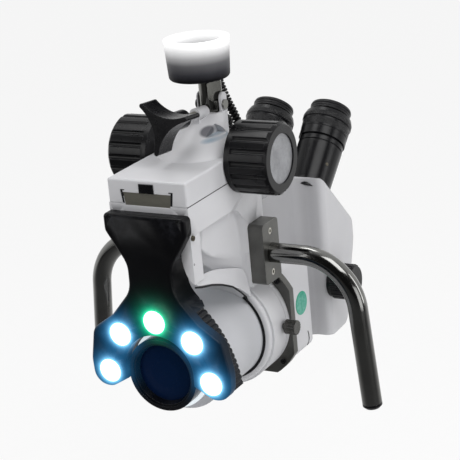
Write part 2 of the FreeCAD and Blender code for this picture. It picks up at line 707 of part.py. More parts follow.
def make_carrier():
    half = BODY_HALF_WIDTH
    slab = block(-half, half, BODY_FRONT, BODY_BACK, POCKET_TOP, SEAM_Z - SLIDE_GAP / 2)
    pillar = block(PILLAR_INNER, half, BODY_FRONT, PILLAR_BACK, PILLAR_FOOT, POCKET_TOP + 1)
    curtain = block(-half + POCKET_DEPTH, half - POCKET_DEPTH, PILLAR_BACK - 1, 39, 112, POCKET_TOP + 1)
    saddle = Part.makeLoft(
        [saddle_section(*row) for row in SADDLE], True, False
    )
    back = prism(
        "X",
        [
            (RING_END - 4, 48),
            (BODY_BACK, 48),
            (BODY_BACK, POCKET_TOP + 1),
            (80, POCKET_TOP + 1),
            (80, POCKET_TOP),
            (105, POCKET_TOP, 21),
            (108.5, 84, 30),
        ],
        -half,
        half,
    )
    ring = rod("Y", RING_RADIUS, RING_START, RING_END)
    ring = rounded(ring, 2.5, lambda b: b.YMax < RING_START + 0.1 and b.XLength > 50)
    carrier = joined([slab, pillar, mirrored(pillar), curtain, saddle, back, ring])
    cuts = [
        rod("Y", OBJECTIVE_RADIUS + SEAT_GAP, 0, RING_END + 1),
        rod("Y", DRUM_RADIUS + 0.2, RING_END, BODY_BACK + 10),
        block(-DOVETAIL_BASE_HALF - 0.3, DOVETAIL_BASE_HALF + 0.3, 0, 200, DOVETAIL_BASE, 170),
    ]
    for y in (26.0, 60.0):
        cuts.append(rod("Z", 2.05, DOVETAIL_BASE - 16, DOVETAIL_BASE + 1, 0, y))
    for sign in (-1, 1):
        cuts.append(rod("Y", 1.05, 0, BODY_FRONT + 9, sign * 34.4, 148.6))
        start = half - 10 if sign > 0 else -half - 1
        cuts.append(rod("X", 1.55, start, start + 11, BODY_FRONT + 3, 130.1))
        for z in GRIP_SCREW_Z:
            cuts.append(rod("X", 2.05, start, start + 11, 127.5, z))
    for cut in cuts:
        carrier = carrier.cut(cut)
    save("carrier", carrier)

    screw = socket_screw("X", 1, half, BODY_FRONT + 3, 130.1, 1.5, 9, 2.4, 1.6)
    save("side_screws", Part.makeCompound([screw, mirrored(screw)]), 2)


# Optical body

def make_optical_body():
    cell = rod("Y", OBJECTIVE_RADIUS, OBJECTIVE_START, RING_END)
    cell = cell.fuse(rod("Y", SPIGOT_RADIUS, SPIGOT_FRONT, OBJECTIVE_START))
    bore_end = BARREL_FRONT + BARREL_LENGTH
    cell = cell.cut(rod("Y", BARREL_RADIUS + SEAT_GAP, SPIGOT_FRONT - 1, bore_end))
    cell = cell.cut(rod("Y", LIGHT_PATH_RADIUS, SPIGOT_FRONT, RING_END + 1))
    save("objective_housing", cell.removeSplitter())

    drum = rod("Y", DRUM_RADIUS, RING_END, DRUM_END)
    groove = rod("Y", DRUM_RADIUS + 1, DRUM_LINE, DRUM_LINE + 0.7)
    groove = groove.cut(rod("Y", DRUM_RADIUS - 0.6, DRUM_LINE - 1, DRUM_LINE + 2))
    thumb_floor = DRUM_RADIUS - THUMB_DEPTH
    drum = drum.cut(groove)
    drum = drum.cut(rod("X", THUMB_STEM_RADIUS + RUNNING_GAP, thumb_floor, 70, THUMB_Y, THUMB_Z))
    save("body_drum", drum.cut(rod("Y", LIGHT_PATH_RADIUS, RING_END - 1, DRUM_END + 1)))

    stem = rod("X", THUMB_STEM_RADIUS, thumb_floor + 0.3, THUMB_HEAD_START + 1, THUMB_Y, THUMB_Z)
    knurl = lobed(THUMB_HEAD_RADIUS, THUMB_HEAD_RADIUS - 0.6, 16, 0.5)
    head = lobed_rod("X", knurl, THUMB_HEAD_START, THUMB_HEAD_END, THUMB_Y, THUMB_Z)
    save("thumb_screw", head.fuse(stem))

    flange_end = DRUM_END + FLANGE_THICKNESS
    plate = block(-FLANGE_HALF_WIDTH, FLANGE_HALF_WIDTH, DRUM_END, flange_end, FLANGE_FOOT, FLANGE_HALF_WIDTH)
    plate = plate.common(rod("Y", FLANGE_CORNER_RADIUS, DRUM_END, flange_end))
    screws = []
    for x, z in ((45.5, 41.0), (45.5, -41.0), (-45.5, 41.0), (-45.5, -41.0)):
        screws.append(socket_screw("Y", -1, DRUM_END, x, z, 1.5, 6, 2.6, 1.8))
        plate = plate.cut(rod("Y", 1.5 + SEAT_GAP, DRUM_END - 1, DRUM_END + 6.2, x, z))
    save("clamp_flange", plate.cut(rod("Y", LIGHT_PATH_RADIUS, DRUM_END - 1, flange_end + 1)))
    save("flange_screws", Part.makeCompound(screws), 4)

    half = SPLITTER_HALF_WIDTH
    splitter = block(-half, half, flange_end, SPLITTER_END, SPLITTER_FOOT, SPLITTER_TOP)
    splitter = rounded(splitter, SPLITTER_EDGE, lambda b: b.YLength > 40)
    wall = SPLITTER_EDGE + 1
    splitter = splitter.cut(
        block(-half + wall, half - wall, flange_end - 1, SPLITTER_END - wall, SPLITTER_FOOT + wall, SPLITTER_TOP - wall)
    )
    window = block(-WINDOW_HALF, WINDOW_HALF, flange_end, SPLITTER_END + 1, -WINDOW_HALF, WINDOW_HALF)
    save("splitter_housing", splitter.cut(window))
    sticker = rod("X", STICKER_RADIUS, half, half + STICKER_THICKNESS, STICKER_Y, STICKER_Z)
    save("inspection_disc", sticker)
    make_prism_housing(flange_end)


def make_prism_housing(front):
    side = [
        (front, SPLITTER_TOP),
        (front, SPINE_TOP, 6),
        (REAR_SLOPE - SPINE_TOP, SPINE_TOP, 1.5),
        (REAR_SLOPE_FOOT, REAR_SLOPE - REAR_SLOPE_FOOT, 14),
        (REAR_SLOPE_FOOT + 0.5, 34, 18),
        (276, REAR_FOOT, 10),
        (SPLITTER_END, REAR_FOOT - 2),
        (SPLITTER_END, SPLITTER_TOP),
    ]
    right = [
        (SPINE_HALF_WIDTH, front - 1),
        (SPINE_HALF_WIDTH, REAR_START, 14),
        (REAR_HALF_WIDTH, REAR_START + 2, 7),
        (REAR_HALF_WIDTH, REAR_SLOPE_FOOT + 20),
    ]
    left = [(-point[0],) + tuple(point[1:]) for point in reversed(right)]
    plan = outline(right + left)
    body = prism("X", side, -70, 70).common(swept_flat("Z", plan, -70, 130))
    for sign in (-1, 1):
        body = body.cut(along_eye(sign, TUBE_FOOT_RADIUS + SEAT_GAP, TUBE_SOCKET - 20, TUBE_END + 0.2))
    body = body.cut(rod("X", CHANGER_SHAFT_RADIUS + RUNNING_GAP, -70, 70, CHANGER_Y, CHANGER_Z))
    wall = SPINE_HALF_WIDTH - WINDOW_HALF
    throat = block(-WINDOW_HALF, WINDOW_HALF, SPLITTER_END - 1, REAR_START + wall + 1, -WINDOW_HALF, WINDOW_HALF)
    inside = block(
        -REAR_HALF_WIDTH + wall, REAR_HALF_WIDTH - wall, REAR_START + wall, 280, REAR_FOOT + 2 * wall, 66
    )
    save("prism_housing", body.cut(throat).cut(inside))


def make_changer():
    start = REAR_HALF_WIDTH + 0.5
    end = start + CHANGER_KNOB_LENGTH
    shaft_end = end - 4
    save("changer_shaft", rod("X", CHANGER_SHAFT_RADIUS, -shaft_end, shaft_end, CHANGER_Y, CHANGER_Z))
    ribs = lobed(CHANGER_KNOB_RADIUS, CHANGER_KNOB_RADIUS - 0.9, CHANGER_KNOB_RIBS, 0.5)
    knob = lobed_rod("X", ribs, start + 4, end - 2, CHANGER_Y, CHANGER_Z)
    collar = rod("X", CHANGER_KNOB_RADIUS - 1.6, start, start + 4, CHANGER_Y, CHANGER_Z)
    face = rod("X", CHANGER_KNOB_RADIUS - 1.8, end - 2, end, CHANGER_Y, CHANGER_Z)
    knob = joined([knob, collar, face])
    knob = knob.cut(rod("X", CHANGER_SHAFT_RADIUS + 0.02, start - 1, shaft_end, CHANGER_Y, CHANGER_Z))
    save("changer_knobs", Part.makeCompound([knob, mirrored(knob)]), 2)


# Eyepieces

def eye_frame(sign):
    slope = math.radians(EYE_ANGLE)
    top = Vector(sign * EYE_HALF_SPACING, EYE_TOP_Y, EYE_TOP_Z)
    return top, Vector(0, -math.cos(slope), -math.sin(slope))


def along_eye(sign, radius, start, end):
    top, down = eye_frame(sign)
    return Part.makeCylinder(radius, end - start, top + down * start, down)


def make_eyepiece(sign, side):
    top, down = eye_frame(sign)
    spigot_top = 12.2
    tube = [
        (EYE_LENS_RADIUS, spigot_top),
        (DIOPTER_SPIGOT_RADIUS, spigot_top),
        (DIOPTER_SPIGOT_RADIUS, DIOPTER_END + 0.3),
        (23.75, DIOPTER_END + 0.3),
        (23.75, 40.0),
        (21.5, 40.3),
        (21.5, 41.5),
        (22.5, 41.5),
        (22.5, 46.0),
        (21.6, 46.2),
        (21.6, 47.6),
        (TUBE_RADIUS, 47.8),
        (TUBE_FOOT_RADIUS, 88.0),
        (TUBE_FOOT_RADIUS, TUBE_END),
        (0, TUBE_END),
        (0, 50.0),
        (EYE_LENS_RADIUS, 50.0),
    ]
    save("eyepiece_tube_" + side, turned(tube, top, down))
    ring = [
        (EYE_LENS_RADIUS, EYECUP_LENGTH),
        (19.0, EYECUP_LENGTH),
        (19.0, 11.0),
        (23.4, 11.4),
        (DIOPTER_RADIUS, 16.0),
        (DIOPTER_RADIUS, 20.0),
        (24.2, 21.0),
        (23.9, DIOPTER_END),
        (DIOPTER_SPIGOT_RADIUS + RUNNING_GAP, DIOPTER_END),
        (DIOPTER_SPIGOT_RADIUS + RUNNING_GAP, spigot_top - 0.4),
        (EYE_LENS_RADIUS, spigot_top - 0.4),
    ]
    save("diopter_ring_" + side, turned(ring, top, down))
    cup = [
        (16.0, EYECUP_LENGTH),
        (15.4, 2.0),
        (17.0, 0.4),
        (19.0, 0.0),
        (20.4, 0.8),
        (EYECUP_RADIUS, 2.6),
        (EYECUP_RADIUS - 0.4, 6.5),
        (EYECUP_RADIUS, EYECUP_LENGTH),
    ]
    save("eyecup_" + side, turned(cup, top, down))
    lens = [
        (0, 6.6),
        (7.0, 7.2),
        (EYE_LENS_RADIUS - SEAT_GAP, 9.0),
        (EYE_LENS_RADIUS - SEAT_GAP, 11.4),
        (0, 11.4),
    ]
    save("eye_lens_" + side, turned(lens, top, down))


# Lamp housing

def lamp_outline():
    right = [
        (LAMP_TOP_HALF_WIDTH, LAMP_TOP, 4),
        (LAMP_TOP_HALF_WIDTH, 135.5, 8),
        (22.3, 105, 24),
        (22.6, 80, 24),
        (44.5, 54.5, 16),
        (66.5, 39.5, 13),
        (71.8, 10, 24),
        (70.5, -16.0, 15),
        (52.0, -16.0, 12),
        (33.0, -5.0),
    ]
    left = [(-p[0],) + tuple(p[1:]) for p in reversed(right)]
    return right + [(30.0, 8.0), (-30.0, 8.0)] + left


def make_lamp_housing():
    deep = prism("Y", lamp_outline(), 0, LAMP_LOBE_THICKNESS)
    edges = [edge for edge in deep.Edges if edge.BoundBox.YMax < 0.1]
    outer = [edge for edge in edges if max(abs(edge.BoundBox.XMin), abs(edge.BoundBox.XMax)) > 34]
    body = deep.makeFillet(LAMP_EDGE, outer)
    cuts = [
        block(-80, 80, LAMP_PLATE_THICKNESS, 60, 112, 160),
        block(-80, 80, LAMP_NECK_THICKNESS, 60, 66, 160),
        rod("Y", SINK_ROOM, SINK_FRONT, 60),
        rod("Y", LAMP_ARCH_RADIUS, -5, 60),
        rod("Y", LAMP_ARCH_RADIUS, -5, 60, 0, LAMP_ARCH_RISE),
    ]
    lenses = []
    for angle in (0, 45, 90, 135, 180):
        turn = math.radians(angle)
        x, z = LED_CIRCLE * math.cos(turn), LED_CIRCLE * math.sin(turn)
        cuts.append(rod("Y", LED_RADIUS + SEAT_GAP, -1, LED_DEPTH, x, z))
        cuts.append(rod("Y", 4.0, 0, LED_DEPTH + 3, x, z))
        dome = [
            (0, -LED_DOME),
            (LED_RADIUS * 0.45, -LED_DOME * 0.8),
            (LED_RADIUS * 0.8, -LED_DOME * 0.35),
            (LED_RADIUS, 0.2),
            (LED_RADIUS, LED_DEPTH - 0.2),
            (0, LED_DEPTH - 0.2),
        ]
        lenses.append((angle, turned(dome, Vector(x, 0, z), AXIS["Y"])))
    board_room = ring_sector(41.0, 64.4, LED_DEPTH + 1, SINK_FRONT)
    cuts.append(board_room)
    for cut in cuts:
        body = body.cut(cut)
    screws = []
    for sign in (-1, 1):
        body = body.cut(rod("Y", 1.65, -1, 1.2, sign * 34.4, 148.6))
        body = body.cut(rod("Y", 1.05, 0, 20, sign * 34.4, 148.6))
        screws.append(socket_screw("Y", -1, 1.2, sign * 34.4, 148.6, 1.0, 17, 1.6, 1.1))
    save("lamp_housing", body)
    save("lamp_housing_screws", Part.makeCompound(screws), 2)
    save("lamp_board", ring_sector(41.3, 64.1, LED_DEPTH + 1, LED_DEPTH + 1 + BOARD_THICKNESS))
    save("white_led_lenses", Part.makeCompound([lens for angle, lens in lenses if angle != 90]), 4)
    save("green_led_lens", [lens for angle, lens in lenses if angle == 90][0])

    scallops = lobed(SINK_RADIUS, SINK_RADIUS - SINK_DEPTH, SINK_SCALLOPS, 0)
    sink = lobed_rod("Y", scallops, SINK_FRONT, SINK_BACK)
    sink = sink.cut(rod("Y", SPIGOT_RADIUS + SEAT_GAP, 0, 60))
    save("lamp_heat_sink", sink.common(block(-80, 80, 0, 60, SINK_FOOT, 80)))


def ring_sector(inner, outer, start, end):
    ring = rod("Y", outer, start, end).cut(rod("Y", inner, start - 1, end + 1))
    return ring.common(block(-outer, outer, start, end, -8, outer))


# Objective

def make_objective():
    front = Vector(0, BARREL_FRONT, 0)
    seat = LENS_SEAT_DEPTH
    barrel = [
        (LENS_RADIUS + SEAT_GAP, 0.0),
        (BARREL_RADIUS - 0.8, 0.0),
        (BARREL_RADIUS, 0.8),
        (BARREL_RADIUS, BARREL_LENGTH),
        (0, BARREL_LENGTH),
        (0, BARREL_LENGTH - 20),
        (LENS_RADIUS - 4, BARREL_LENGTH - 20),
        (LENS_RADIUS - 4, seat),
        (LENS_RADIUS + SEAT_GAP, seat),
    ]
    save("objective_barrel", turned(barrel, front, AXIS["Y"]))
    lens_start = seat - LENS_THICKNESS
    lens = [
        (0, lens_start - 2.4),
        (LENS_RADIUS * 0.45, lens_start - 1.8),
        (LENS_RADIUS * 0.8, lens_start - 0.4),
        (LENS_RADIUS - RETAINER_WALL - 0.2, lens_start),
        (LENS_RADIUS, lens_start),
        (LENS_RADIUS, seat),
        (0, seat),
    ]
    save("objective_lens", turned(lens, front, AXIS["Y"]))
    retainer = [
        (LENS_RADIUS - RETAINER_WALL, lens_start),
        (LENS_RADIUS - RETAINER_WALL + 1.6, 1.2),
        (LENS_RADIUS, 1.2),
        (LENS_RADIUS, lens_start),
    ]
    save("lens_retainer", turned(retainer, front, AXIS["Y"]))


# Handles

def make_handles():
    middle = (GRIP_BLOCK_FRONT + GRIP_BLOCK_BACK) / 2
    body = block(
        GRIP_BLOCK_START, GRIP_BLOCK_END, GRIP_BLOCK_FRONT, GRIP_BLOCK_BACK, GRIP_BLOCK_FOOT, GRIP_BLOCK_TOP
    )
    body = rounded(body, 4.0, lambda b: b.XLength > 10)
    body = body.cut(rod("X", GRIP_BAR_RADIUS + SEAT_GAP, GRIP_BLOCK_START + 3, GRIP_BLOCK_END + 1, middle, GRIP_Z))
    screws = []
    for z in GRIP_SCREW_Z:
        body = body.cut(rod("X", 3.3, GRIP_BLOCK_END - 3, GRIP_BLOCK_END + 1, middle, z))
        body = body.cut(rod("X", 2.05, GRIP_BLOCK_START - 1, GRIP_BLOCK_END, middle, z))
        screws.append(socket_screw("X", 1, GRIP_BLOCK_END - 3, middle, z, 2.0, 21, 3.2, 2.8))
    save("handle_block_right", body)
    save("handle_block_left", mirrored(body))
    save("handle_screws", Part.makeCompound(screws + [mirrored(screw) for screw in screws]), 4)

    turn = math.radians(GRIP_BEND_ANGLE)
    start = Vector(GRIP_BLOCK_START + 3.2, middle, GRIP_Z)
    bend = Vector(GRIP_BEND_START, middle, GRIP_Z)
    centre = bend - AXIS["Z"] * GRIP_BEND_RADIUS
    mid = centre + Vector(math.sin(turn / 2), 0, math.cos(turn / 2)) * GRIP_BEND_RADIUS
    exit_point = centre + Vector(math.sin(turn), 0, math.cos(turn)) * GRIP_BEND_RADIUS
    downward = Vector(math.cos(turn), 0, -math.sin(turn))
    end = exit_point + downward * ((exit_point.z - GRIP_END_Z) / math.sin(turn) - GRIP_CAP_LENGTH)
    path = Part.Wire([
        Part.makeLine(start, bend),
        Part.Arc(bend, mid, exit_point).toShape(),
        Part.makeLine(exit_point, end),
    ])
    circle = Part.Wire(Part.makeCircle(GRIP_BAR_RADIUS, start, AXIS["X"]))
    bar = path.makePipeShell([circle], True, True)
    save("handle_bar_right", bar)
    save("handle_bar_left", mirrored(bar))
    cap = [
        (0, 0),
        (GRIP_BAR_RADIUS, 0),
        (GRIP_BAR_RADIUS, GRIP_CAP_LENGTH - 2.5),
        (GRIP_BAR_RADIUS - 2.5, GRIP_CAP_LENGTH),
        (0, GRIP_CAP_LENGTH),
    ]
    cap = turned(cap, end, downward)
    save("handle_caps", Part.makeCompound([cap, mirrored(cap)]), 2)


# Cord

def make_cord():
    hub_end = HUB_GLAND_Y + 2.6
    head_end = HEAD_GLAND_Y + 2.6
    points = [
        Vector(HUB_GLAND_X, hub_end, HUB_GLAND_Z),
        Vector(HUB_GLAND_X, hub_end + 14, HUB_GLAND_Z),
        Vector(-10, 166, 240),
        Vector(3, 157, 219),
        Vector(14, 156, 198),
        Vector(18, 158, 178),
        Vector(16, 162, 160),
        Vector(5, 166, 149),
        Vector(-7, 168, 158),
        Vector(-7, 171, 176),
        Vector(HEAD_GLAND_X, head_end + 20, HEAD_GLAND_Z),
        Vector(HEAD_GLAND_X, head_end, HEAD_GLAND_Z),
    ]
    edges = []
    last = points[0]
    for i in range(1, len(points) - 1):
        before, after = points[i - 1] - points[i], points[i + 1] - points[i]
        half = before.getAngle(after) / 2
        reach = 0.45 * min(before.Length, after.Length)
        radius = reach * math.tan(half)
        before.normalize()
        after.normalize()
        inward = (before + after).normalize()
        centre = points[i] + inward * (radius / math.sin(half))
        first, middle = points[i] + before * reach, centre - inward * radius
        following = points[i] + after * reach
        edges.append(Part.makeLine(last, first))
        edges.append(Part.Arc(first, middle, following).toShape())
        print("cord bend", i, round(radius, 1))
        last = following
    edges.append(Part.makeLine(last, points[-1]))
    path = Part.Wire(edges)
    direction = (points[1] - points[0]).normalize()
    circle = Part.Wire(Part.makeCircle(CORD_RADIUS, points[0], direction))
    save("coiled_cord", path.makePipeShell([circle], True, True))


def main():
    os.makedirs("parts", exist_ok=True)
    make_hub()
    make_post()
    make_wing_knob()
    make_upper_housing()
    make_focus_drive()
    make_carrier()
    make_optical_body()
    make_changer()
    for sign, side in ((1, "right"), (-1, "left")):
        make_eyepiece(sign, side)
    make_lamp_housing()
    make_objective()
    make_handles()
    make_cord()


main()
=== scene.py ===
import json
import math

import bmesh
import bpy
from mathutils import Matrix, Vector


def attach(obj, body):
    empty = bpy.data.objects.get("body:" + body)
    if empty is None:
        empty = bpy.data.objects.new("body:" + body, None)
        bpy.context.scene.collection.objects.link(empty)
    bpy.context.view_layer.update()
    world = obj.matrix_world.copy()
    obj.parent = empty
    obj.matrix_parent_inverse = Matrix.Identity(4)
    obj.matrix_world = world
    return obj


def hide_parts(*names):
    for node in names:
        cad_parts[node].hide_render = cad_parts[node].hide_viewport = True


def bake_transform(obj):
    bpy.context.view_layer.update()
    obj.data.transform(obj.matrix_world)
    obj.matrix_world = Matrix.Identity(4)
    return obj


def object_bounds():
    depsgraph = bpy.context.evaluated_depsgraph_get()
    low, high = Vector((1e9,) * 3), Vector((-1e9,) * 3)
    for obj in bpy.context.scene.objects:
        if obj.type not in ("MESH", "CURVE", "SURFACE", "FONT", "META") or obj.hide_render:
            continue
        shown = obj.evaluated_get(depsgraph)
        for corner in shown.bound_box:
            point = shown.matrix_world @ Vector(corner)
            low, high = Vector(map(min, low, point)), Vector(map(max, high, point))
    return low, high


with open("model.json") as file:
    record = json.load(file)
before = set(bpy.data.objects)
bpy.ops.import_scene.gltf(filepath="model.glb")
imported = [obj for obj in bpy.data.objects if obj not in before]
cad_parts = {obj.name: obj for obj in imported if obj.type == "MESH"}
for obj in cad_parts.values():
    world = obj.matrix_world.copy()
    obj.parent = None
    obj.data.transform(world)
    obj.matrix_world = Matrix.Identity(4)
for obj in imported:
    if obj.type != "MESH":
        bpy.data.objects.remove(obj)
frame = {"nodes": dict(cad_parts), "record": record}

CAD_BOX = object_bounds()
NODES = frame["nodes"]
MM = 0.001
HUB_Y, HUB_TOP = 120.0, 282.0


def place(x, y, z):
    """Point given in mm from the lamp front on the optical axis, in the part's frame and in metres."""
    return Vector((x, y - HUB_Y, z - HUB_TOP)) * MM


def linear(r, g, b):
    """Colour as a screen shows it, 0 to 255, as linear light."""
    out = []
    for value in (r, g, b):
        c = value / 255
        out.append(c / 12.92 if c <= 0.04045 else ((c + 0.055) / 1.055) ** 2.4)
    return tuple(out) + (1.0,)


# Materials

class Nodes:
    """Short calls for building one node tree."""

    def __init__(self, tree):
        self.tree = tree
        self.tree.nodes.clear()

    def node(self, kind, **values):
        made = self.tree.nodes.new(kind)
        for key, value in values.items():
            setattr(made, key, value)
        return made

    def feed(self, socket, value):
        if isinstance(value, bpy.types.NodeSocket):
            self.tree.links.new(value, socket)
        else:
            socket.default_value = value

    def math(self, operation, a, b=0.0):
        made = self.node("ShaderNodeMath", operation=operation)
        self.feed(made.inputs[0], a)
        self.feed(made.inputs[1], b)
        return made.outputs[0]

    def vector(self, operation, a, b):
        made = self.node("ShaderNodeVectorMath", operation=operation)
        self.feed(made.inputs[0], a)
        self.feed(made.inputs[1], b)
        return made.outputs["Value" if operation in ("DOT_PRODUCT", "DISTANCE", "LENGTH") else "Vector"]

    def scaled(self, colour, factor):
        made = self.node("ShaderNodeVectorMath", operation="SCALE")
        self.feed(made.inputs[0], colour)
        self.feed(made.inputs["Scale"], factor)
        return made.outputs[0]

    def span(self, value, low, high, to_low, to_high, curve="LINEAR"):
        """The value carried over from low..high to to_low..to_high, and held at the ends."""
        made = self.node("ShaderNodeMapRange", interpolation_type=curve)
        self.feed(made.inputs[0], value)
        for i, number in enumerate((low, high, to_low, to_high)):
            self.feed(made.inputs[i + 1], number)
        return made.outputs[0]

    def within(self, value, low, high):
        """1 where the value lies between low and high, 0 elsewhere."""
        above = self.math("GREATER_THAN", value, low)
        return self.math("MULTIPLY", above, self.math("LESS_THAN", value, high))

    def fading(self, distance, reach):
        """Share that is 1 at no distance and falls by a factor of e over each reach in mm."""
        return self.math("POWER", math.e, self.math("MULTIPLY", distance, -1 / (reach * MM)))

    def mix(self, share, a, b):
        """Colour between a and b."""
        made = self.node("ShaderNodeMix", data_type="RGBA")
        self.feed(made.inputs[0], share)
        self.feed(made.inputs[6], a)
        self.feed(made.inputs[7], b)
        return made.outputs[2]

    def pick(self, share, a, b):
        """Number between a and b."""
        made = self.node("ShaderNodeMix", data_type="FLOAT")
        self.feed(made.inputs[0], share)
        self.feed(made.inputs[2], a)
        self.feed(made.inputs[3], b)
        return made.outputs[0]


class Shader(Nodes):
    """Builder of one procedural material round a Principled shader."""

    def __init__(self, name):
        self.material = bpy.data.materials.new(name)
        self.material.use_nodes = True
        super().__init__(self.material.node_tree)
        self.out = self.node("ShaderNodeOutputMaterial")
        self.bsdf = self.node("ShaderNodeBsdfPrincipled")
        self.feed(self.out.inputs[0], self.bsdf.outputs[0])
        self.coords = self.node("ShaderNodeTexCoord").outputs["Object"]

    def sets(self, **values):
        for key, value in values.items():
            self.feed(self.bsdf.inputs[key.replace("_", " ")], value)

    def noise(self, scale, detail=2.0, roughness=0.5, vector=None, stretch=None):
        source = vector if vector is not None else self.coords
        if stretch:
            source = self.vector("MULTIPLY", source, stretch)
        made = self.node("ShaderNodeTexNoise")
        self.feed(made.inputs["Vector"], source)
        made.inputs["Scale"].default_value = scale
        made.inputs["Detail"].default_value = detail
        made.inputs["Roughness"].default_value = roughness
        return made.outputs["Fac"]

    def bump(self, height, distance, normal=None):
        made = self.node("ShaderNodeBump")
        made.inputs["Strength"].default_value = 1.0
        made.inputs["Distance"].default_value = distance
        self.feed(made.inputs["Height"], height)
        if normal is not None:
            self.feed(made.inputs["Normal"], normal)
        return made.outputs[0]

    def soft_edges(self, radius):
        made = self.node("ShaderNodeBevel", samples=6)
        made.inputs["Radius"].default_value = radius
        return made.outputs[0]

    def edge_mask(self, soft, low=0.02, high=0.3):
        """1 on sharp edges, 0 on flat faces, from how far the rounded normal leans from the face's own."""
        geometry = self.node("ShaderNodeNewGeometry")
        lean = self.vector("DOT_PRODUCT", soft, geometry.outputs["True Normal"])
        return self.span(self.math("SUBTRACT", 1.0, lean), low, high, 0.0, 1.0)

    def parts(self):
        made = self.node("ShaderNodeSeparateXYZ")
        self.feed(made.inputs[0], self.coords)
        return made.outputs

    def round_about(self, origin, across, up):
        """Angle and distance round an axis through origin, for knurls and spun finishes."""
        away = self.vector("SUBTRACT", self.coords, tuple(origin))
        u = self.vector("DOT_PRODUCT", away, tuple(across))
        v = self.vector("DOT_PRODUCT", away, tuple(up))
        angle = self.math("ARCTAN2", u, v)
        squares = self.math("ADD", self.math("MULTIPLY", u, u), self.math("MULTIPLY", v, v))
        distance = self.math("SQRT", squares)
        return angle, distance


def surface(name, colour, roughness, metallic=0.0, specular=0.5, shade=0.06, patch=28.0, grain=1500.0,
            relief=0.012, edge=0.5, wear_and_highlight=None, stretch=None):
    """Finish with mottled colour, varying gloss, fine relief and softened edges; its edge colour lightens the
    edges, as wear and as painted highlights.
    """
    s = Shader(name)
    cloud = s.noise(patch, 4.0, 0.6, stretch=stretch)
    fine = s.noise(grain, 3.0, 0.6, stretch=stretch)
    dark = tuple(c * (1 - shade) for c in colour[:3]) + (1.0,)
    light = tuple(min(1.0, c * (1 + shade)) for c in colour[:3]) + (1.0,)
    base = s.mix(s.span(cloud, 0.35, 0.65, 0.0, 1.0), dark, light)
    base = s.mix(s.span(fine, 0.4, 0.72, 0.0, 0.35), base, dark)
    soft = s.soft_edges(edge * MM)
    # lighter edges: partly wear, partly painted highlights along the edges
    if wear_and_highlight:
        rubbed_and_highlit = s.math("MULTIPLY", s.edge_mask(soft), s.span(s.noise(190.0, 4.0, 0.7), 0.42, 0.6, 0.15, 1.0))
        base = s.mix(rubbed_and_highlit, base, wear_and_highlight)
    gloss = s.span(s.noise(patch * 3, 3.0, 0.6), 0.3, 0.7, roughness * 0.85, roughness * 1.15)
    s.sets(Base_Color=base, Roughness=gloss, Metallic=metallic, Normal=s.bump(fine, relief * MM, normal=soft))
    s.bsdf.inputs["Specular IOR Level"].default_value = specular
    s.base, s.soft, s.fine = base, soft, fine
    return s


LENS_RING = 52.5    # radius of the circle on which the lamp lenses sit, in mm
LENS_EDGE = 10.9    # distance from a lens's centre at which its glow starts to fade, in mm
LENS_CENTRES = [
    (LENS_RING * math.cos(math.radians(turn)), LENS_RING * math.sin(math.radians(turn)), turn == 90)
    for turn in (0, 45, 90, 135, 180)
]
# Colours of the glow round a lens, each with its reach in mm
WHITE_GLOW = (((0.03, 0.27, 0.62), 5.6), ((0.35, 0.8, 1.0), 1.7))
GREEN_GLOW = (((0.0, 0.50, 0.27), 4.6), ((0.05, 0.7, 0.3), 1.5))


def add_glow(s, depth=14.0, share=1.0):
    """Light that the lit lenses throw on the dark front round them, fading with the distance from each."""
    x, y, z = s.parts()
    flat = s.node("ShaderNodeCombineXYZ")
    s.feed(flat.inputs[0], x)
    s.feed(flat.inputs[2], z)
    total = None
    for lens_x, lens_z, green in LENS_CENTRES:
        centre = place(lens_x, 0, lens_z)
        away = s.vector("DISTANCE", flat.outputs[0], (centre.x, 0.0, centre.z))
        away = s.math("MAXIMUM", s.math("SUBTRACT", away, LENS_EDGE * MM), 0.0)
        for colour, reach in GREEN_GLOW if green else WHITE_GLOW:
            lit = s.scaled(colour, s.fading(away, reach))
            total = lit if total is None else s.vector("ADD", total, lit)
    behind = s.math("MAXIMUM", s.math("SUBTRACT", y, place(0, 0, 0).y), 0.0)
    mottle = s.span(s.noise(90.0, 4.0, 0.7), 0.3, 0.7, 0.82, 1.12)
    mask = s.math("MULTIPLY", s.math("MULTIPLY", s.fading(behind, depth), mottle), share)
    s.sets(Emission_Color=s.scaled(total, mask), Emission_Strength=1.0)


def paint(name, colour, roughness=0.42):
    """Smooth housing paint with hardly any mottle."""
    return surface(name, colour, roughness, specular=0.4, shade=0.018, patch=16.0, grain=2600.0, relief=0.010,
                   edge=0.9)


HUB_FADE = (245, 282)     # heights between which the hub's painted shade goes from dark to white, in mm
HUB_LIGHT = (262, 281)    # heights between which its painted light sets in
HUB_GLOW = 0.55
# Tones of the painted shade by share of the height, from the dark foot to the white top
HUB_SHADE_TONES = ((0.0, (10, 10, 14)), (0.08, (22, 22, 26)), (0.22, (56, 56, 61)), (0.42, (98, 98, 101)),
             (0.62, (140, 140, 142)), (0.8, (204, 204, 205)), (0.95, (250, 250, 250)))


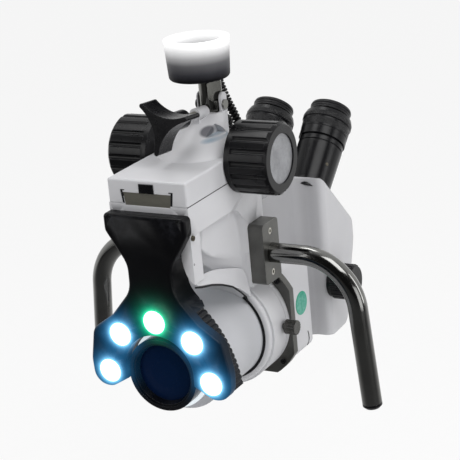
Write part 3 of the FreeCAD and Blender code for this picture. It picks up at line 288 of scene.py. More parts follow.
def hub_painted_shade():
    """Sleeve with painted shade, dark at its foot and fading to a white top, with some painted light of its
    own.
    """
    s = paint("hub_sleeve_painted_shade", linear(150, 150, 153), 0.45)
    s.bsdf.inputs["Specular IOR Level"].default_value = 0.1
    z = s.parts()[2]
    foot, top = (place(0, 0, height).z for height in HUB_FADE)
    drift = s.span(s.noise(40.0, 3.0), 0.3, 0.7, -0.015, 0.015)
    # painted shade: dark at the foot, white at the top
    ramp = s.node("ShaderNodeValToRGB")
    s.feed(ramp.inputs[0], s.math("ADD", s.span(z, foot, top, 0.0, 1.0), drift))
    points = ramp.color_ramp.elements
    while len(points) < len(HUB_SHADE_TONES):
        points.new(0.5)
    for point, (at, colour) in zip(points, HUB_SHADE_TONES):
        point.position = at
        point.color = linear(*colour)
    # painted light towards the top, though the hub is no lamp
    unlit, lit = (place(0, 0, height).z for height in HUB_LIGHT)
    s.sets(Base_Color=ramp.outputs[0], Emission_Color=(1.0, 1.0, 1.0, 1.0),
           Emission_Strength=s.span(z, unlit, lit, 0.0, HUB_GLOW))
    return s


RECESS_WIDTH = (27, 50)      # distances from the middle between which the recess lightens, in mm
RECESS_DEPTH = (232, 240)    # depths between which the recess ends


def shaded_spine():
    """Paint of the rear housing, darker by position in the recess beside the carrier, which lies in shade."""
    s = paint("prism_housing_paint", linear(206, 206, 209), 0.40)
    x, y, _ = s.parts()
    middle, side = (place(width, 0, 0).x for width in RECESS_WIDTH)
    front, back = (place(0, depth, 0).y for depth in RECESS_DEPTH)
    share = s.math("MAXIMUM", s.span(x, middle, side, 0.56, 1.0), s.span(y, front, back, 0.0, 1.0))
    s.sets(Base_Color=s.mix(share, linear(96, 96, 100), s.base))
    return s


# Centre and half sizes in mm, colour and strength of the painted shade in the hollow and of the painted
# blue-grey reflection on the ledge below it
TOWER_SHADES = (
    ((14.5, 101.0, 200.5), (7.5, 11.0, 5.2), linear(84, 84, 92), 0.85),
    ((17.0, 112.0, 193.5), (9.0, 26.0, 3.0), linear(128, 152, 170), 0.8),
)


def shaded_notch():
    """Paint of the upper housing, with painted shade for the hollow and a painted blue-grey reflection on the
    ledge on the side of its tower.
    """
    s = paint("upper_housing_paint", linear(210, 210, 213))
    base = s.base
    for centre, size, colour, strength in TOWER_SHADES:
        away = s.vector("SUBTRACT", s.coords, tuple(place(*centre)))
        away = s.vector("DIVIDE", away, tuple(v * MM for v in size))
        away = s.vector("LENGTH", away, (0, 0, 0))
        # painted shade for the hollow, painted blue-grey reflection for the ledge
        base = s.mix(s.span(away, 0.75, 1.1, strength, 0.0), base, colour)
    s.sets(Base_Color=base)
    return s


def spun_disc():
    """Aluminium faced on a lathe: fine arcs round the knob's axis, cloudy reflections and light scratches."""
    s = Shader("spun_aluminium")
    angle, distance = s.round_about(place(0, 110.7, 175.9), (0, 1, 0), (0, 0, 1))
    rings = s.node("ShaderNodeCombineXYZ")
    s.feed(rings.inputs[0], s.math("MULTIPLY", distance, 900.0))
    s.feed(rings.inputs[1], s.math("MULTIPLY", angle, 1.2))
    turned = s.noise(3.0, 3.0, 0.6, vector=rings.outputs[0])
    cloud = s.noise(70.0, 4.0, 0.65)
    tone = s.mix(s.span(cloud, 0.35, 0.65, 0.0, 1.0), linear(146, 147, 150), linear(172, 173, 177))
    tone = s.mix(s.span(turned, 0.3, 0.7, 0.0, 0.45), tone, linear(126, 127, 130))
    scratches = s.noise(60.0, 5.0, 0.8, stretch=(1.0, 9.0, 1.3))
    tone = s.mix(s.span(scratches, 0.60, 0.66, 0.0, 0.5), tone, linear(196, 197, 200))
    soft = s.soft_edges(0.5 * MM)
    s.sets(Base_Color=tone, Metallic=0.35, Roughness=s.span(turned, 0.3, 0.7, 0.42, 0.6),
           Normal=s.bump(turned, 0.012 * MM, normal=soft))
    return s


def knurled(name, top, down, colour, roughness, bands, folds=None):
    """Black eyepiece finish; bands are (start, end, ribs) and folds (start, end, count), in mm down."""
    s = surface(name, colour, roughness, specular=0.25, shade=0.2, patch=45.0, grain=2200.0, relief=0.008,
                edge=0.5, wear_and_highlight=linear(74, 74, 78))
    side = Vector((1, 0, 0))
    up = down.cross(side)
    angle, _ = s.round_about(top, side, up)
    along = s.vector("DOT_PRODUCT", s.vector("SUBTRACT", s.coords, tuple(top)), tuple(down))
    height = s.math("MULTIPLY", s.fine, 0.15)
    for start, end, ribs in bands:
        ridge = s.math("SINE", s.math("MULTIPLY", angle, float(ribs)))
        inside = s.within(along, start * MM, end * MM)
        height = s.math("ADD", height, s.math("MULTIPLY", s.math("MULTIPLY", ridge, 0.5), inside))
    if folds:
        start, end, count = folds
        wave = s.math("SINE", s.math("MULTIPLY", along, 2 * math.pi * count / ((end - start) * MM)))
        inside = s.within(along, start * MM, end * MM)
        height = s.math("ADD", height, s.math("MULTIPLY", s.math("MULTIPLY", wave, 0.5), inside))
    s.sets(Normal=s.bump(height, 0.35 * MM, normal=s.soft))
    return s


def lit_lens(name, colour, strength):
    """Lit plastic lens with small facets, each brightest in its middle."""
    s = Shader(name)
    s.sets(Base_Color=(0.8, 0.85, 0.9, 1.0), Roughness=0.25)
    facets = s.node("ShaderNodeTexVoronoi", feature="F1")
    s.feed(facets.inputs["Vector"], s.coords)
    facets.inputs["Scale"].default_value = 420.0
    cells = s.span(facets.outputs["Distance"], 0.0, 0.8, 1.1, 0.85)
    s.sets(Emission_Color=colour, Emission_Strength=s.math("MULTIPLY", cells, strength),
           Normal=s.bump(facets.outputs["Distance"], 0.05 * MM))
    return s


def coated_glass(name, colour, roughness=0.04):
    """Coated lens: dark body with a painted blue sheen where it is seen at a slant, and a little dust."""
    s = Shader(name)
    facing = s.node("ShaderNodeLayerWeight")
    facing.inputs["Blend"].default_value = 0.35
    # painted sheen: bluer where the lens is seen at a slant
    tone_and_sheen = s.mix(facing.outputs["Facing"], colour, linear(22, 30, 76))
    dust = s.span(s.noise(700.0, 3.0, 0.7), 0.62, 0.7, 0.0, 0.12)
    tone_and_sheen = s.mix(dust, tone_and_sheen, linear(90, 95, 105))
    s.sets(Base_Color=tone_and_sheen, Roughness=s.span(s.noise(40.0, 3.0), 0.3, 0.7, roughness, roughness * 1.8),
           Specular_Tint=(0.35, 0.55, 1.0, 1.0))
    s.bsdf.inputs["Specular IOR Level"].default_value = 0.16
    return s


def film_disc():
    """Green film with a finely printed mottle and a plain rim."""
    s = Shader("green_film")
    _, distance = s.round_about(place(41.5, 203, -1.5), (0, 1, 0), (0, 0, 1))
    mottle = s.noise(260.0, 3.0, 0.6)
    tone = s.mix(s.span(mottle, 0.42, 0.6, 0.0, 1.0), linear(58, 160, 134), linear(100, 178, 160))
    rim = s.span(distance, 10.4 * MM, 11.0 * MM, 0.0, 1.0)
    tone = s.mix(rim, tone, linear(44, 168, 136))
    s.sets(Base_Color=tone, Roughness=0.35, Normal=s.bump(mottle, 0.01 * MM))
    return s


def make_materials():
    """Finishes by material slot, for all slots but the eyepieces', which special_finishes makes."""
    out = {
        "hub_grey": hub_painted_shade(),
        "white_paint": paint("housing_paint", linear(214, 214, 217)),
        "bronze": surface("bronze_bearing", linear(196, 160, 98), 0.35, metallic=1.0, shade=0.1, edge=0.3),
        "black_plastic": surface("wing_plastic", linear(10, 10, 13), 0.28, specular=0.3, shade=0.15,
                                 grain=1900.0, relief=0.02, edge=0.7, wear_and_highlight=linear(58, 58, 62)),
        "chrome": surface("post_chrome", linear(120, 120, 116), 0.16, metallic=1.0, shade=0.08, grain=800.0,
                          relief=0.004, edge=0.4),
        "steel": surface("ground_steel", linear(128, 126, 116), 0.34, metallic=0.55, shade=0.12, patch=120.0,
                         grain=1400.0, relief=0.012, edge=0.35, wear_and_highlight=linear(186, 184, 174),
                         stretch=(0.15, 1.0, 1.0)),
        "black_steel": surface("blackened_steel", linear(46, 46, 48), 0.36, metallic=0.8, shade=0.15,
                               edge=0.25, wear_and_highlight=linear(120, 120, 120)),
        # light rib edges: wear and painted highlights
        "knob_black": surface("knob_plastic", linear(7, 7, 10), 0.3, specular=0.28, shade=0.15, grain=1800.0,
                              relief=0.015, edge=0.8, wear_and_highlight=linear(70, 70, 74)),
        "disc_aluminium": spun_disc(),
        "gunmetal": surface("gunmetal_anodised", linear(104, 104, 101), 0.34, metallic=0.85, shade=0.1,
                            patch=60.0, grain=1600.0, relief=0.014, edge=0.5, wear_and_highlight=linear(180, 180, 176)),
        "green_disc": film_disc(),
        "coated_glass": coated_glass("objective_glass", linear(5, 26, 50)),
        "lamp_black": surface("lamp_front_black", linear(9, 9, 12), 0.34, specular=0.18, shade=0.2,
                              grain=1500.0, relief=0.02, edge=1.2, wear_and_highlight=linear(40, 41, 46)),
        "board_green": surface("board_lacquer", linear(20, 74, 44), 0.3, shade=0.2, edge=0.1),
        "led_white": lit_lens("white_light_lens", (0.48, 0.82, 1.25, 1.0), 3.0),
        "led_green": lit_lens("green_light_lens", (0.5, 1.3, 0.75, 1.0), 2.6),
        "black_chrome": surface("black_chrome", linear(132, 132, 130), 0.14, metallic=1.0, shade=0.12,
                                patch=20.0, grain=500.0, relief=0.002, edge=0.4),
        "cord_black": surface("cord_sheath", linear(13, 13, 15), 0.3, specular=0.2, shade=0.15, grain=2500.0,
                              relief=0.01, edge=0.1),
    }
    add_glow(out["lamp_black"])
    return out


OBJECTIVE_FRONT = 20     # depth of the objective housing's front, in mm
GAP_LIGHT = 0.75         # lamp light on its front, in the gap round the barrel
GAP_REACH = 2.5          # depth in mm over which that light fades by a factor of e
PAINT_LIGHT = 0.07       # light that all of its paint has
EYEPIECE_TOP = (32.5, 320, 164.7)
SLOPE = math.sqrt(0.5)   # the eyepieces rise backwards at 45 degrees


def special_finishes():
    """Finishes for single nodes whose tone or texture in the photo isn't their slot's."""
    special = {
        "objective_housing": paint("objective_paint", linear(188, 188, 192), 0.36),
        "prism_housing": shaded_spine(),
        "upper_housing": shaded_notch(),
        "handle_screws": surface("bright_screw_steel", linear(190, 188, 180), 0.25, metallic=0.9, shade=0.12,
                                 edge=0.2, wear_and_highlight=linear(230, 228, 220)),
        "objective_barrel": surface("barrel_black", linear(13, 14, 18), 0.25, specular=0.4, shade=0.15,
                                    edge=0.5, wear_and_highlight=linear(48, 52, 60)),
        "lens_retainer": surface("retainer_black", linear(12, 13, 17), 0.28, specular=0.35, shade=0.15,
                                 edge=0.4, wear_and_highlight=linear(52, 58, 70)),
        "lamp_heat_sink": surface("heat_sink_black", linear(20, 23, 29), 0.35, specular=0.3, shade=0.15,
                                  edge=0.5, wear_and_highlight=linear(70, 72, 78)),
        "handle_caps": surface("grip_cap_black", linear(12, 12, 14), 0.2, specular=0.5, shade=0.15, edge=0.6,
                               wear_and_highlight=linear(70, 70, 72)),
        "side_screws": surface("screw_head_steel", linear(96, 90, 76), 0.3, metallic=0.9, shade=0.15,
                               edge=0.2, wear_and_highlight=linear(190, 180, 160)),
        "thumb_screw": surface("thumb_screw_nickel", linear(96, 95, 92), 0.26, metallic=0.85, shade=0.12,
                               edge=0.25, wear_and_highlight=linear(190, 189, 184)),
        "seam": surface("seam_rubber", linear(30, 30, 33), 0.5, specular=0.2, shade=0.15, edge=0.2),
    }
    lit = special["objective_housing"]
    inside = lit.math("SUBTRACT", lit.parts()[1], place(0, OBJECTIVE_FRONT, 0).y)
    leak = lit.math("MULTIPLY", lit.fading(inside, GAP_REACH), GAP_LIGHT)
    lit.sets(Emission_Color=(0.78, 0.86, 0.9, 1.0), Emission_Strength=lit.math("ADD", leak, PAINT_LIGHT))
    add_glow(special["objective_barrel"], 40.0, 0.8)
    add_glow(special["lens_retainer"], 60.0, 0.6)
    down = Vector((0, -SLOPE, -SLOPE))
    x, y, z = EYEPIECE_TOP
    for sign, side in ((1, "right"), (-1, "left")):
        top = place(sign * x, y, z)
        special["eyepiece_tube_" + side] = knurled(
            "eyepiece_tube_finish_" + side, top, down, linear(12, 12, 15), 0.22, ()
        )
        special["diopter_ring_" + side] = knurled(
            "diopter_ring_finish_" + side, top, down, linear(14, 14, 17), 0.26,
            ((15.6, 20.6, 110), (22.5, 29.0, 110))
        )
        special["eyecup_" + side] = knurled(
            "eyecup_rubber_" + side, top, down, linear(15, 15, 18), 0.4, (), (1.0, 9.0, 3)
        )
        special["eye_lens_" + side] = coated_glass("eye_lens_glass_" + side, linear(16, 24, 44))
    return special


def dress():
    """Give each node its own finish where it has one, or else its slot's."""
    made = make_materials()
    special = special_finishes()
    slots = {row["node"]: row["material_slot"] for row in frame["record"]["subparts"]}
    for name, thing in NODES.items():
        chosen = special[name] if name in special else made[slots[name]]
        thing.data.materials.clear()
        thing.data.materials.append(chosen.material)
    return made, special


# Mesh helpers

def linked(name, data):
    """New object in the scene with this data."""
    thing = bpy.data.objects.new(name, data)
    bpy.context.scene.collection.objects.link(thing)
    return thing


def mesh_piece(name, points, faces, smooth=True):
    data = bpy.data.meshes.new(name)
    data.from_pydata([tuple(p) for p in points], [], faces)
    data.update()
    for face in data.polygons:
        face.use_smooth = smooth
    return linked(name, data)


def skin(rows, size, closed=False):
    """Faces between rows of size points each, every row a loop; closed joins the last row to the first."""
    total = rows * size
    faces = []
    for row in range(rows if closed else rows - 1):
        for k in range(size):
            a, b = row * size + k, row * size + (k + 1) % size
            faces.append((a, b, (b + size) % total, (a + size) % total))
    return faces


def face_outwards(piece):
    """Turn all of the piece's faces outwards."""
    mesh = bmesh.new()
    mesh.from_mesh(piece.data)
    bmesh.ops.recalc_face_normals(mesh, faces=mesh.faces)
    mesh.to_mesh(piece.data)
    mesh.free()


def apply_changes(piece):
    """Turn the piece's modifiers into plain mesh."""
    graph = bpy.context.evaluated_depsgraph_get()
    data = bpy.data.meshes.new_from_object(piece.evaluated_get(graph))
    piece.modifiers.clear()
    piece.data = data


def divided(line, parts):
    """The line's points, with each stretch between two of them divided in so many parts."""
    fine = []
    for a, b in zip(line, line[1:]):
        fine += [a.lerp(b, k / parts) for k in range(parts)]
    return fine + [line[-1]]


# Curly cord

CORD_ROUTE = (
    (-11, 151.5, 258),
    (-11, 165.5, 258),
    (-10, 166, 240),
    (3, 157, 219),
    (14, 156, 198),
    (18, 158, 178),
    (16, 168, 161),
    (5, 173, 153),
    (-7, 175, 161),
    (-7, 175, 176),
    (-4, 174, 196),
    (-4, 154, 196),
)
WIRE = 2.9          # diameter of the coiled lead, in mm
COIL = 3.05         # radius of the coil's centreline, in mm
PITCH = 1.10        # distance between turns on a straight stretch, in lead diameters
MOST_BEND = 0.62    # the tightest bend that opens the turns further, as coil radius over bend radius
BEND_REACH = 12     # route points to each side over which a bend is averaged
TURN_POINTS = 14
CORD_SPLIT = 222.0  # height at which the cord's two pieces meet, level with the tilt hinge
UPPER_BEND = (252, 226)    # heights where that passage starts and ends, upper and lower piece
LOWER_BEND = (221, 197)


def route_points():
    """Fine points of the cord's smooth route."""
    data = bpy.data.curves.new("cord_route", "CURVE")
    data.dimensions = "3D"
    spline = data.splines.new("NURBS")
    spline.points.add(len(CORD_ROUTE) - 1)
    for point, (x, y, z) in zip(spline.points, CORD_ROUTE):
        point.co = (*place(x, y, z), 1.0)
    spline.order_u = 3
    spline.use_endpoint_u = True
    spline.resolution_u = 40
    thing = linked("cord_route", data)
    line = bpy.data.meshes.new_from_object(thing)
    points = [vertex.co.copy() for vertex in line.vertices]
    bpy.data.objects.remove(thing)
    bpy.data.meshes.remove(line)
    if (points[0] - place(*CORD_ROUTE[0])).length > (points[-1] - place(*CORD_ROUTE[0])).length:
        points.reverse()
    return points


def coil_points():
    """Points of the coiled lead; its turns open up where the route bends, so that they don't run together."""
    route = route_points()
    gaps = [(b - a).length for a, b in zip(route, route[1:])]
    headings = [(b - a).normalized() for a, b in zip(route, route[1:])]
    bends = [headings[i].angle(headings[i + 1]) / ((gaps[i] + gaps[i + 1]) / 2) for i in range(len(gaps) - 1)]
    bends = [bends[0]] + bends + [bends[-1]]
    smooth = []
    for i in range(len(bends)):
        near = bends[max(0, i - BEND_REACH):i + BEND_REACH]
        smooth.append(sum(near) / len(near))
    stops = []
    side = headings[0].orthogonal().normalized()
    turn = 0.0
    for i, (start, gap) in enumerate(zip(route, gaps)):
        along = headings[i]
        side = (side - along * side.dot(along)).normalized()
        room = 1 - min(MOST_BEND, COIL * MM * smooth[i])
        pitch = WIRE * PITCH * MM / room
        steps = max(1, round(gap / pitch * TURN_POINTS * 2))
        for step in range(steps):
            share = step / steps
            here = start + along * gap * share
            angle = turn + 2 * math.pi * gap * share / pitch
            stops.append((here, side.copy(), along.copy(), angle))
        turn += 2 * math.pi * gap / pitch
    points = []
    last = None
    for here, side, along, angle in stops:
        if last is None or angle - last >= 2 * math.pi / TURN_POINTS:
            across = along.cross(side)
            points.append(here + (side * math.cos(angle) + across * math.sin(angle)) * COIL * MM)
            last = angle
    return points


def tube(name, path, radius, sides=8):
    """Round tube along a path, with closed ends."""
    points = []
    side = (path[1] - path[0]).orthogonal().normalized()
    for i, centre in enumerate(path):
        before, after = path[max(0, i - 1)], path[min(len(path) - 1, i + 1)]
        along = (after - before).normalized()
        side = (side - along * side.dot(along)).normalized()
        across = along.cross(side)
        for k in range(sides):
            angle = 2 * math.pi * k / sides
            points.append(centre + (side * math.cos(angle) + across * math.sin(angle)) * radius)
    last = (len(path) - 1) * sides
    ends = [tuple(reversed(range(sides))), tuple(range(last, last + sides))]
    return mesh_piece(name, points, skin(len(path), sides) + ends)


def make_cord(finish):
    """The cord in two pieces, which run between the hub, the swivel and the head."""
    path = coil_points()
    height = place(0, 0, CORD_SPLIT).z
    cut = next(i for i, point in enumerate(path) if point.z < height)
    pieces = (
        ("curly_cord_upper", path[:cut + 1], "hub", "swivel", UPPER_BEND),
        ("curly_cord_lower", path[cut:], "swivel", "head", LOWER_BEND),
    )
    for name, line, first, second, (start, end) in pieces:
        piece = tube(name, line, WIRE / 2 * MM)
        piece.data.materials.append(finish.material)
        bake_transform(piece)
        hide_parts("coiled_cord")


# Pieces of the head whose shape the solids give more plainly

def working_copy(node, name):
    """Copy of a node's mesh with its points welded, to be cut to shape."""
    data = NODES[node].data.copy()
    mesh = bmesh.new()
    mesh.from_mesh(data)
    bmesh.ops.remove_doubles(mesh, verts=mesh.verts, dist=2e-6)
    mesh.to_mesh(data)
    mesh.free()
    return linked(name, data)


def left_side(outline):
    """The outline mirrored to the left side, its points in the same turn."""
    return [(-x, z) for x, z in reversed(outline)]


def prism_piece(name, outline, near, far):
    """Solid between two depths; the outline's (x, z) points in mm run anticlockwise from the front."""
    count = len(outline)
    points = [place(x, near, z) for x, z in outline] + [place(x, far, z) for x, z in outline]
    faces = [tuple(range(count)), tuple(reversed(range(count, 2 * count)))]
    faces += [(k, k + count, (k + 1) % count + count, (k + 1) % count) for k in range(count)]
    return mesh_piece(name, points, faces, smooth=False)


def shaped(piece, cutters):
    """The piece with the cutters taken away from it, as a plain mesh with crisp edges."""
    for cutter in cutters:
        change = piece.modifiers.new("cut", "BOOLEAN")
        change.operation = "DIFFERENCE"
        change.solver = "EXACT"
        change.object = cutter
    apply_changes(piece)
    for cutter in cutters:
        bpy.data.objects.remove(cutter)
    for face in piece.data.polygons:
        face.use_smooth = True
    piece.data.set_sharp_from_angle(angle=math.radians(28))
    return piece


def finish_piece(piece, finish, body, slot, *nodes):
    """Give the piece its finish and body, and hide the nodes whose meshes it replaces; slot is not used."""
    piece.data.materials.clear()
    piece.data.materials.append(finish.material)
    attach(piece, body)
    if nodes:
        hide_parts(*nodes)


LAMP_BACK = 11.0       # depth of the lobes' backs, in mm
SINK_BACK = 29.5
SINK_BORE = 38.7
SINK_RIBS = 80         # ribs to a full turn
SINK_RIB_HEIGHT = 1.5
SINK_ROUNDNESS = 0.6   # power that gives the ribs round crests and sharp roots
SINK_CHAMFER = 0.8
SINK_FOOT = -9.0
SINK_START, SINK_END = -14.0, 194.0    # angles of the arch's ends, in degrees from the +X side
SINK_STEPS = 640
WAIST_TURN, SHOULDER_TURN = 25, 60     # angles where the arch is narrowest and widest
WAIST_RADIUS, SHOULDER_RISE = 64.4, 5.4
SINK_TOP = 60.5        # height of the flat top between the shoulders


def sink_radius(turn):
    """Radius of the rib crests at an angle in degrees from the +X side, alike on both sides."""
    turn = min(turn, 180 - turn)
    share = (min(turn, SHOULDER_TURN) - WAIST_TURN) / (SHOULDER_TURN - WAIST_TURN)
    reach = WAIST_RADIUS + SHOULDER_RISE * share ** 2
    if turn > SHOULDER_TURN:
        reach = min(reach, SINK_TOP / math.sin(math.radians(turn)))
    return reach


def ribbed_sink():
    """Heat sink behind the lamps: a scalloped arch with rounded ribs, open at its foot."""
    outer, inner = [], []
    for k in range(SINK_STEPS + 1):
        turn = SINK_START + (SINK_END - SINK_START) * k / SINK_STEPS
        angle = math.radians(turn)
        wave = abs(math.sin(angle * SINK_RIBS / 2))
        reach = sink_radius(turn) - SINK_RIB_HEIGHT * (1 - wave ** SINK_ROUNDNESS)
        x, z = reach * math.cos(angle), reach * math.sin(angle)
        outer.append((x, max(z, SINK_FOOT)))
        inner.append((SINK_BORE * math.cos(angle), max(SINK_BORE * math.sin(angle), SINK_FOOT)))
    levels = ((LAMP_BACK, 0.0), (SINK_BACK - SINK_CHAMFER, 0.0), (SINK_BACK, SINK_CHAMFER))
    points, faces = [], []
    ring = len(outer)
    for depth, pull in levels:
        for x, z in outer:
            reach = math.hypot(x, z)
            scale = (reach - pull) / reach
            points.append(place(x * scale, depth, z * scale))
    for depth in (LAMP_BACK, SINK_BACK):
        points += [place(x, depth, z) for x, z in inner]
    near_in, far_in = 3 * ring, 4 * ring
    for k in range(ring - 1):
        for level in (0, 1):
            a = level * ring + k
            faces.append((a, a + ring, a + ring + 1, a + 1))
        faces.append((2 * ring + k, far_in + k, far_in + k + 1, 2 * ring + k + 1))
        faces.append((near_in + k, k, k + 1, near_in + k + 1))
        faces.append((far_in + k, near_in + k, near_in + k + 1, far_in + k + 1))
    for k in (0, ring - 1):
        faces.append((k, near_in + k, far_in + k, 2 * ring + k, ring + k))
    piece = mesh_piece("ribbed_heat_sink", points, faces)
    face_outwards(piece)
    piece.data.set_sharp_from_angle(angle=math.radians(35))
    return piece


SEAM_TURNS = 160
SEAM_PROFILE = ((111.4, 46.25), (110.9, 46.6), (110.8, 47.4), (110.9, 48.3), (111.4, 48.7), (111.95, 48.8),
                (111.95, 46.2))    # depth and radius, in mm


def seam_ring():
    """Dark rubber ring that closes the gap between the objective's cylinder and the carrier's collar."""
    points = []
    for k in range(SEAM_TURNS):
        angle = 2 * math.pi * k / SEAM_TURNS
        points += [place(r * math.cos(angle), y, r * math.sin(angle)) for y, r in SEAM_PROFILE]
    return mesh_piece("seam_ring", points, skin(SEAM_TURNS, len(SEAM_PROFILE), closed=True))


# Lip and crease of the web from the right pillar's foot back to the collar, as pairs of points in mm
WEB_LIP = ((39.7, 11.5, 87.0), (39.7, 22, 83.5), (39.7, 40, 79.0), (39.7, 58, 72.5), (39.7, 76, 64.0),
           (39.7, 92, 54.0), (39.7, 104, 45.0), (39.2, 111.8, 37.5))
WEB_CREASE = ((38.6, 20.5, 92.5), (37.0, 27, 91.0), (34.0, 42, 89.0), (32.0, 58, 85.5), (31.5, 74, 81.0),
              (32.0, 90, 76.0), (33.0, 102, 72.0), (34.2, 111.8, 68.5))
WEB_STEPS = 6
WEB_SAG = 1.2      # how far the sheet hangs through between lip and crease
WEB_DEPTH = 4.0    # how far the web reaches into the housing


def side_web():
    """Web that runs from the right pillar back to the collar, on the side that the photo shows."""
    points = []
    for (lx, ly, lz), (cx, cy, cz) in zip(WEB_LIP, WEB_CREASE):
        for j in range(WEB_STEPS + 1):
            share = j / WEB_STEPS
            sag = math.sin(math.pi * share) * WEB_SAG
            points.append(place(lx + (cx - lx) * share, ly + (cy - ly) * share, lz + (cz - lz) * share - sag))
        points.append(place(cx - WEB_DEPTH, cy, cz - WEB_DEPTH))
        points.append(place(lx - WEB_DEPTH, ly, lz - 1.0))
        points.append(place(lx - 0.8, ly, lz - 1.2))
    rows, size = len(WEB_LIP), WEB_STEPS + 4
    ends = [tuple(range(size)), tuple(range((rows - 1) * size, rows * size))]
    piece = mesh_piece("side_web_right", points, skin(rows, size) + ends)
    face_outwards(piece)
    change = piece.modifiers.new("round", "SUBSURF")
    change.levels = 2
    change.render_levels = 2
    apply_changes(piece)
    return piece


SEAM_END = [(38.2, 92, 51.0), (36.6, 104, 41.6), (34.2, 111.0, 33.0)]    # where the gap leaves the lip


def lip_seam():
    """Dark gap that follows the web's lip down to the seam ring."""
    line = [(x - 0.5, y + 0.6, z - 2.0) for x, y, z in WEB_LIP[:5]] + SEAM_END
    return tube("lip_seam_right", divided([place(*point) for point in line], 6), 0.85 * MM)


# Room that is cut out of the working copies, as outlines of (x, z) points in mm
LOBE_ROOM = ((-85, -60), (85, -60), (85, 60), (-85, 60))
CORNER_ROOMS = (((28.5, 79), (35.5, 59), (70, 59), (70, 79)),
                ((-28.5, 79), (-70, 79), (-70, 59), (-35.5, 59)))
HOUSING_END = 65             # a depth behind all of the lamp housing
FOOT_DEPTHS = (9.0, 27.6)    # depths in front of and behind the pillars' feet
HORN_ROOM = ((41.5, 78.0), (41.5, 87.2), (38.5, 88.2), (35.0, 91.5), (32.2, 96.5), (30.2, 103.0),
             (28.4, 112.0), (20.0, 112.0), (20.0, 78.0))
LEFT_FOOT_ROOM = ((-41.5, 84.0), (-27.0, 84.0), (-27.0, 122.0), (-41.5, 122.0))


def reshape(made, special):
    """Pieces in place of the lamp housing, the heat sink and the carrier, with web, seam ring and gap."""
    rooms = [prism_piece("lobe_room", LOBE_ROOM, LAMP_BACK, HOUSING_END)]
    rooms += [prism_piece("corner_room", outline, LAMP_BACK, HOUSING_END) for outline in CORNER_ROOMS]
    housing = shaped(working_copy("lamp_housing", "lamp_shell"), rooms)
    finish_piece(housing, made["lamp_black"], "microscope", "lamp_black", "lamp_housing")
    finish_piece(ribbed_sink(), special["lamp_heat_sink"], "microscope", "lamp_black", "lamp_heat_sink")
    finish_piece(seam_ring(), special["seam"], "microscope", "black_plastic")
    feet = [prism_piece("foot_room", outline, *FOOT_DEPTHS)
            for outline in (HORN_ROOM, left_side(HORN_ROOM), LEFT_FOOT_ROOM)]
    carrier = shaped(working_copy("carrier", "carrier_shell"), feet)
    finish_piece(carrier, made["white_paint"], "microscope", "white_paint", "carrier")
    finish_piece(side_web(), made["white_paint"], "microscope", "white_paint")
    finish_piece(lip_seam(), special["seam"], "microscope", "black_plastic")


# Small fittings that the solids leave out

SCREW_SIDES = 24
# Rings of a recess screw: share of its radius, rise in mm, and whether the ring is six-sided
SCREW_RINGS = ((1.0, 0.0, False), (0.92, 0.14, False), (0.62, 0.14, True), (0.5, -0.5, True))
GAP_LINE = ((39.2, 157.95), (39.87, 157.95), (39.87, 158.75), (39.2, 158.75))
GROOVE_EDGE = ((23.3, 159.0), (25.0, 159.0), (26.6, 171.2), (22.5, 171.2), (22.5, 170.4), (24.7, 170.4))
CLIP_LINE = ((41.7, 212.3, -34.8), (41.8, 213.6, -38.6), (41.8, 213.9, -43.2), (41.4, 212.7, -47.2),
             (40.6, 210.9, -49.6))


def recess_screw(name, centre, direction, radius, finish):
    """Set screw sunk flush in a face: chamfered ring with a six-sided recess."""
    along = direction.normalized()
    side = along.orthogonal().normalized()
    across = along.cross(side)
    points = []
    for share, rise, six_sided in SCREW_RINGS:
        for k in range(SCREW_SIDES):
            angle = 2 * math.pi * k / SCREW_SIDES
            reach = radius * share
            if six_sided:
                sector = (angle + math.pi / 6) % (math.pi / 3) - math.pi / 6
                reach = reach * 0.9 / math.cos(sector)
            out = (side * math.cos(angle) + across * math.sin(angle)) * reach
            points.append(centre + out + along * (rise * MM))
    rows = len(SCREW_RINGS)
    floor = tuple(range((rows - 1) * SCREW_SIDES, rows * SCREW_SIDES))
    piece = mesh_piece(name, points, skin(rows, SCREW_SIDES) + [floor], smooth=False)
    finish_piece(piece, finish, "microscope", "black_steel")


def fittings(special):
    """Small dark holes, screws and lines that the photo shows on the housings."""
    dark = special["seam"]
    recess_screw("pillar_hole", place(39.8, 13.2, 106.1), Vector((1, 0, 0)), 0.9 * MM, dark)
    recess_screw("tube_set_screw", place(51.2, 262.8, 123.9), Vector((0.87, -0.38, 0.33)), 1.5 * MM,
                 special["side_screws"])
    finish_piece(prism_piece("slide_gap_line", GAP_LINE, 10.9, 143.5), dark, "head", "black_plastic")
    for side, outline in (("right", GROOVE_EDGE), ("left", left_side(GROOVE_EDGE))):
        finish_piece(prism_piece("groove_edge_" + side, outline, 10.45, 11.6), dark, "head", "black_plastic")
    clip = tube("splitter_clip", divided([place(*point) for point in CLIP_LINE], 5), 0.4 * MM)
    finish_piece(clip, dark, "microscope", "black_plastic")


# Stage

ROOM_LIGHT = 0.38                   # light of the room on matt surfaces
ROOM_SHADE = 0.02                   # what gloss shows of the side behind the camera
FAR_SIDE = (-0.436, 0.894, 0.104)   # towards the bright side of the room
ROOM_FADE = (-0.55, 0.45)           # from the shaded side of the room to the bright one, along FAR_SIDE
FLOOR_FADE = (-0.5, 0.9)            # the same for the floor, in metres
FLOOR_GAP = 0.25                    # metres from the part's lowest point down to the floor
FLOOR_REACH = 6.0                   # half of the floor's width, in metres
FLOOR_WHITE = 0.88                  # share of plain white in the floor as it is seen


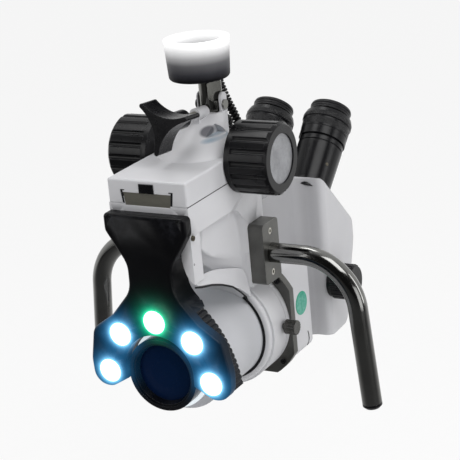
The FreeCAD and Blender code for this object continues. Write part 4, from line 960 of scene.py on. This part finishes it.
def make_floor():
    """Floor that the camera sees nearly white and that gloss sees darker on the side behind the camera."""
    z = CAD_BOX[0].z - FLOOR_GAP
    corners = [(x * FLOOR_REACH, y * FLOOR_REACH, z) for x, y in ((-1, -1), (1, -1), (1, 1), (-1, 1))]
    floor = mesh_piece("floor", corners, [(0, 1, 2, 3)], smooth=False)
    s = Shader("pale_floor")
    s.tree.nodes.remove(s.bsdf)
    matt = s.node("ShaderNodeBsdfDiffuse")
    s.feed(matt.inputs["Color"], s.span(s.noise(60.0, 3.0), 0.3, 0.7, 0.86, 0.9))
    white = s.node("ShaderNodeEmission")
    rays = s.node("ShaderNodeLightPath").outputs
    far = s.vector("DOT_PRODUCT", s.coords, FAR_SIDE)
    mirrored = s.span(far, *FLOOR_FADE, ROOM_SHADE, 1.0, "SMOOTHSTEP")
    s.feed(white.inputs["Strength"], s.pick(rays["Is Camera Ray"], mirrored, 1.0))
    seen = s.math("MAXIMUM", rays["Is Camera Ray"], rays["Is Glossy Ray"])
    seen = s.math("MAXIMUM", seen, rays["Is Transmission Ray"])
    blend = s.node("ShaderNodeMixShader")
    s.feed(blend.inputs[0], s.math("MULTIPLY", seen, FLOOR_WHITE))
    s.feed(blend.inputs[1], matt.outputs[0])
    s.feed(blend.inputs[2], white.outputs[0])
    s.feed(s.out.inputs[0], blend.outputs[0])
    floor.data.materials.append(s.material)


def make_room():
    """Surroundings that are even for the camera and matt surfaces, and fade to dark for gloss and glass."""
    world = bpy.data.worlds.new("studio")
    bpy.context.scene.world = world
    world.use_nodes = True
    n = Nodes(world.node_tree)
    out = n.node("ShaderNodeOutputWorld")
    back = n.node("ShaderNodeBackground")
    rays = n.node("ShaderNodeLightPath").outputs
    coords = n.node("ShaderNodeTexCoord").outputs["Generated"]
    shade = n.span(n.vector("DOT_PRODUCT", coords, FAR_SIDE), *ROOM_FADE, ROOM_SHADE, 1.0, "SMOOTHSTEP")
    mirrored = n.math("MAXIMUM", rays["Is Glossy Ray"], rays["Is Transmission Ray"])
    strength = n.pick(mirrored, ROOM_LIGHT, shade)
    n.feed(back.inputs["Strength"], n.pick(rays["Is Camera Ray"], strength, 1.0))
    n.feed(out.inputs[0], back.outputs[0])


def lamp(name, spot, target, width, height, power):
    """Rectangular light at spot that faces target; sizes in metres, power in watts."""
    data = bpy.data.lights.new(name, "AREA")
    data.shape = "RECTANGLE"
    data.size, data.size_y = width, height
    data.energy = power
    thing = linked(name, data)
    thing.location = spot
    thing.rotation_mode = "QUATERNION"
    thing.rotation_quaternion = (Vector(target) - Vector(spot)).to_track_quat("-Z", "Y")


def make_lights():
    """Soft light from above and all round, strongest from the upper right."""
    middle = (0.0, 0.0, -0.2)
    lamp("key", (0.75, -0.35, 1.05), middle, 0.9, 0.9, 9.5)
    lamp("overhead", (-0.35, 0.15, 1.1), middle, 0.9, 0.5, 6.0)
    lamp("fill", (-0.9, -1.3, 0.35), middle, 0.9, 0.9, 5.0)
    lamp("edge", (1.35, 0.5, 0.15), middle, 0.25, 1.1, 3.0)
    lamp("side", (1.3, -0.35, -0.15), (0.0, 0.0, -0.25), 0.7, 0.7, 2.6)


def make_camera():
    """Camera matched to the photo's view: its place, its three axes and its lens."""
    right = Vector((0.876543, 0.473250, -0.087835))
    up = Vector((-0.076655, 0.317406, 0.945192))
    back = Vector((0.47519526, -0.82175636, 0.31449316))
    data = bpy.data.cameras.new("photo_camera")
    data.sensor_width = 36.0
    data.lens = 128.07
    data.clip_start, data.clip_end = 0.05, 50.0
    thing = linked("photo_camera", data)
    turn = Matrix((right, up, back)).transposed().to_4x4()
    thing.matrix_world = Matrix.Translation(place(739.376, -1129.711, 578.450)) @ turn
    bpy.context.scene.camera = thing


made, special = dress()
make_camera()
reshape(made, special)
fittings(special)
make_cord(made["cord_black"])
make_floor()
make_room()
make_lights()
bpy.context.scene.view_settings.view_transform = "Standard"
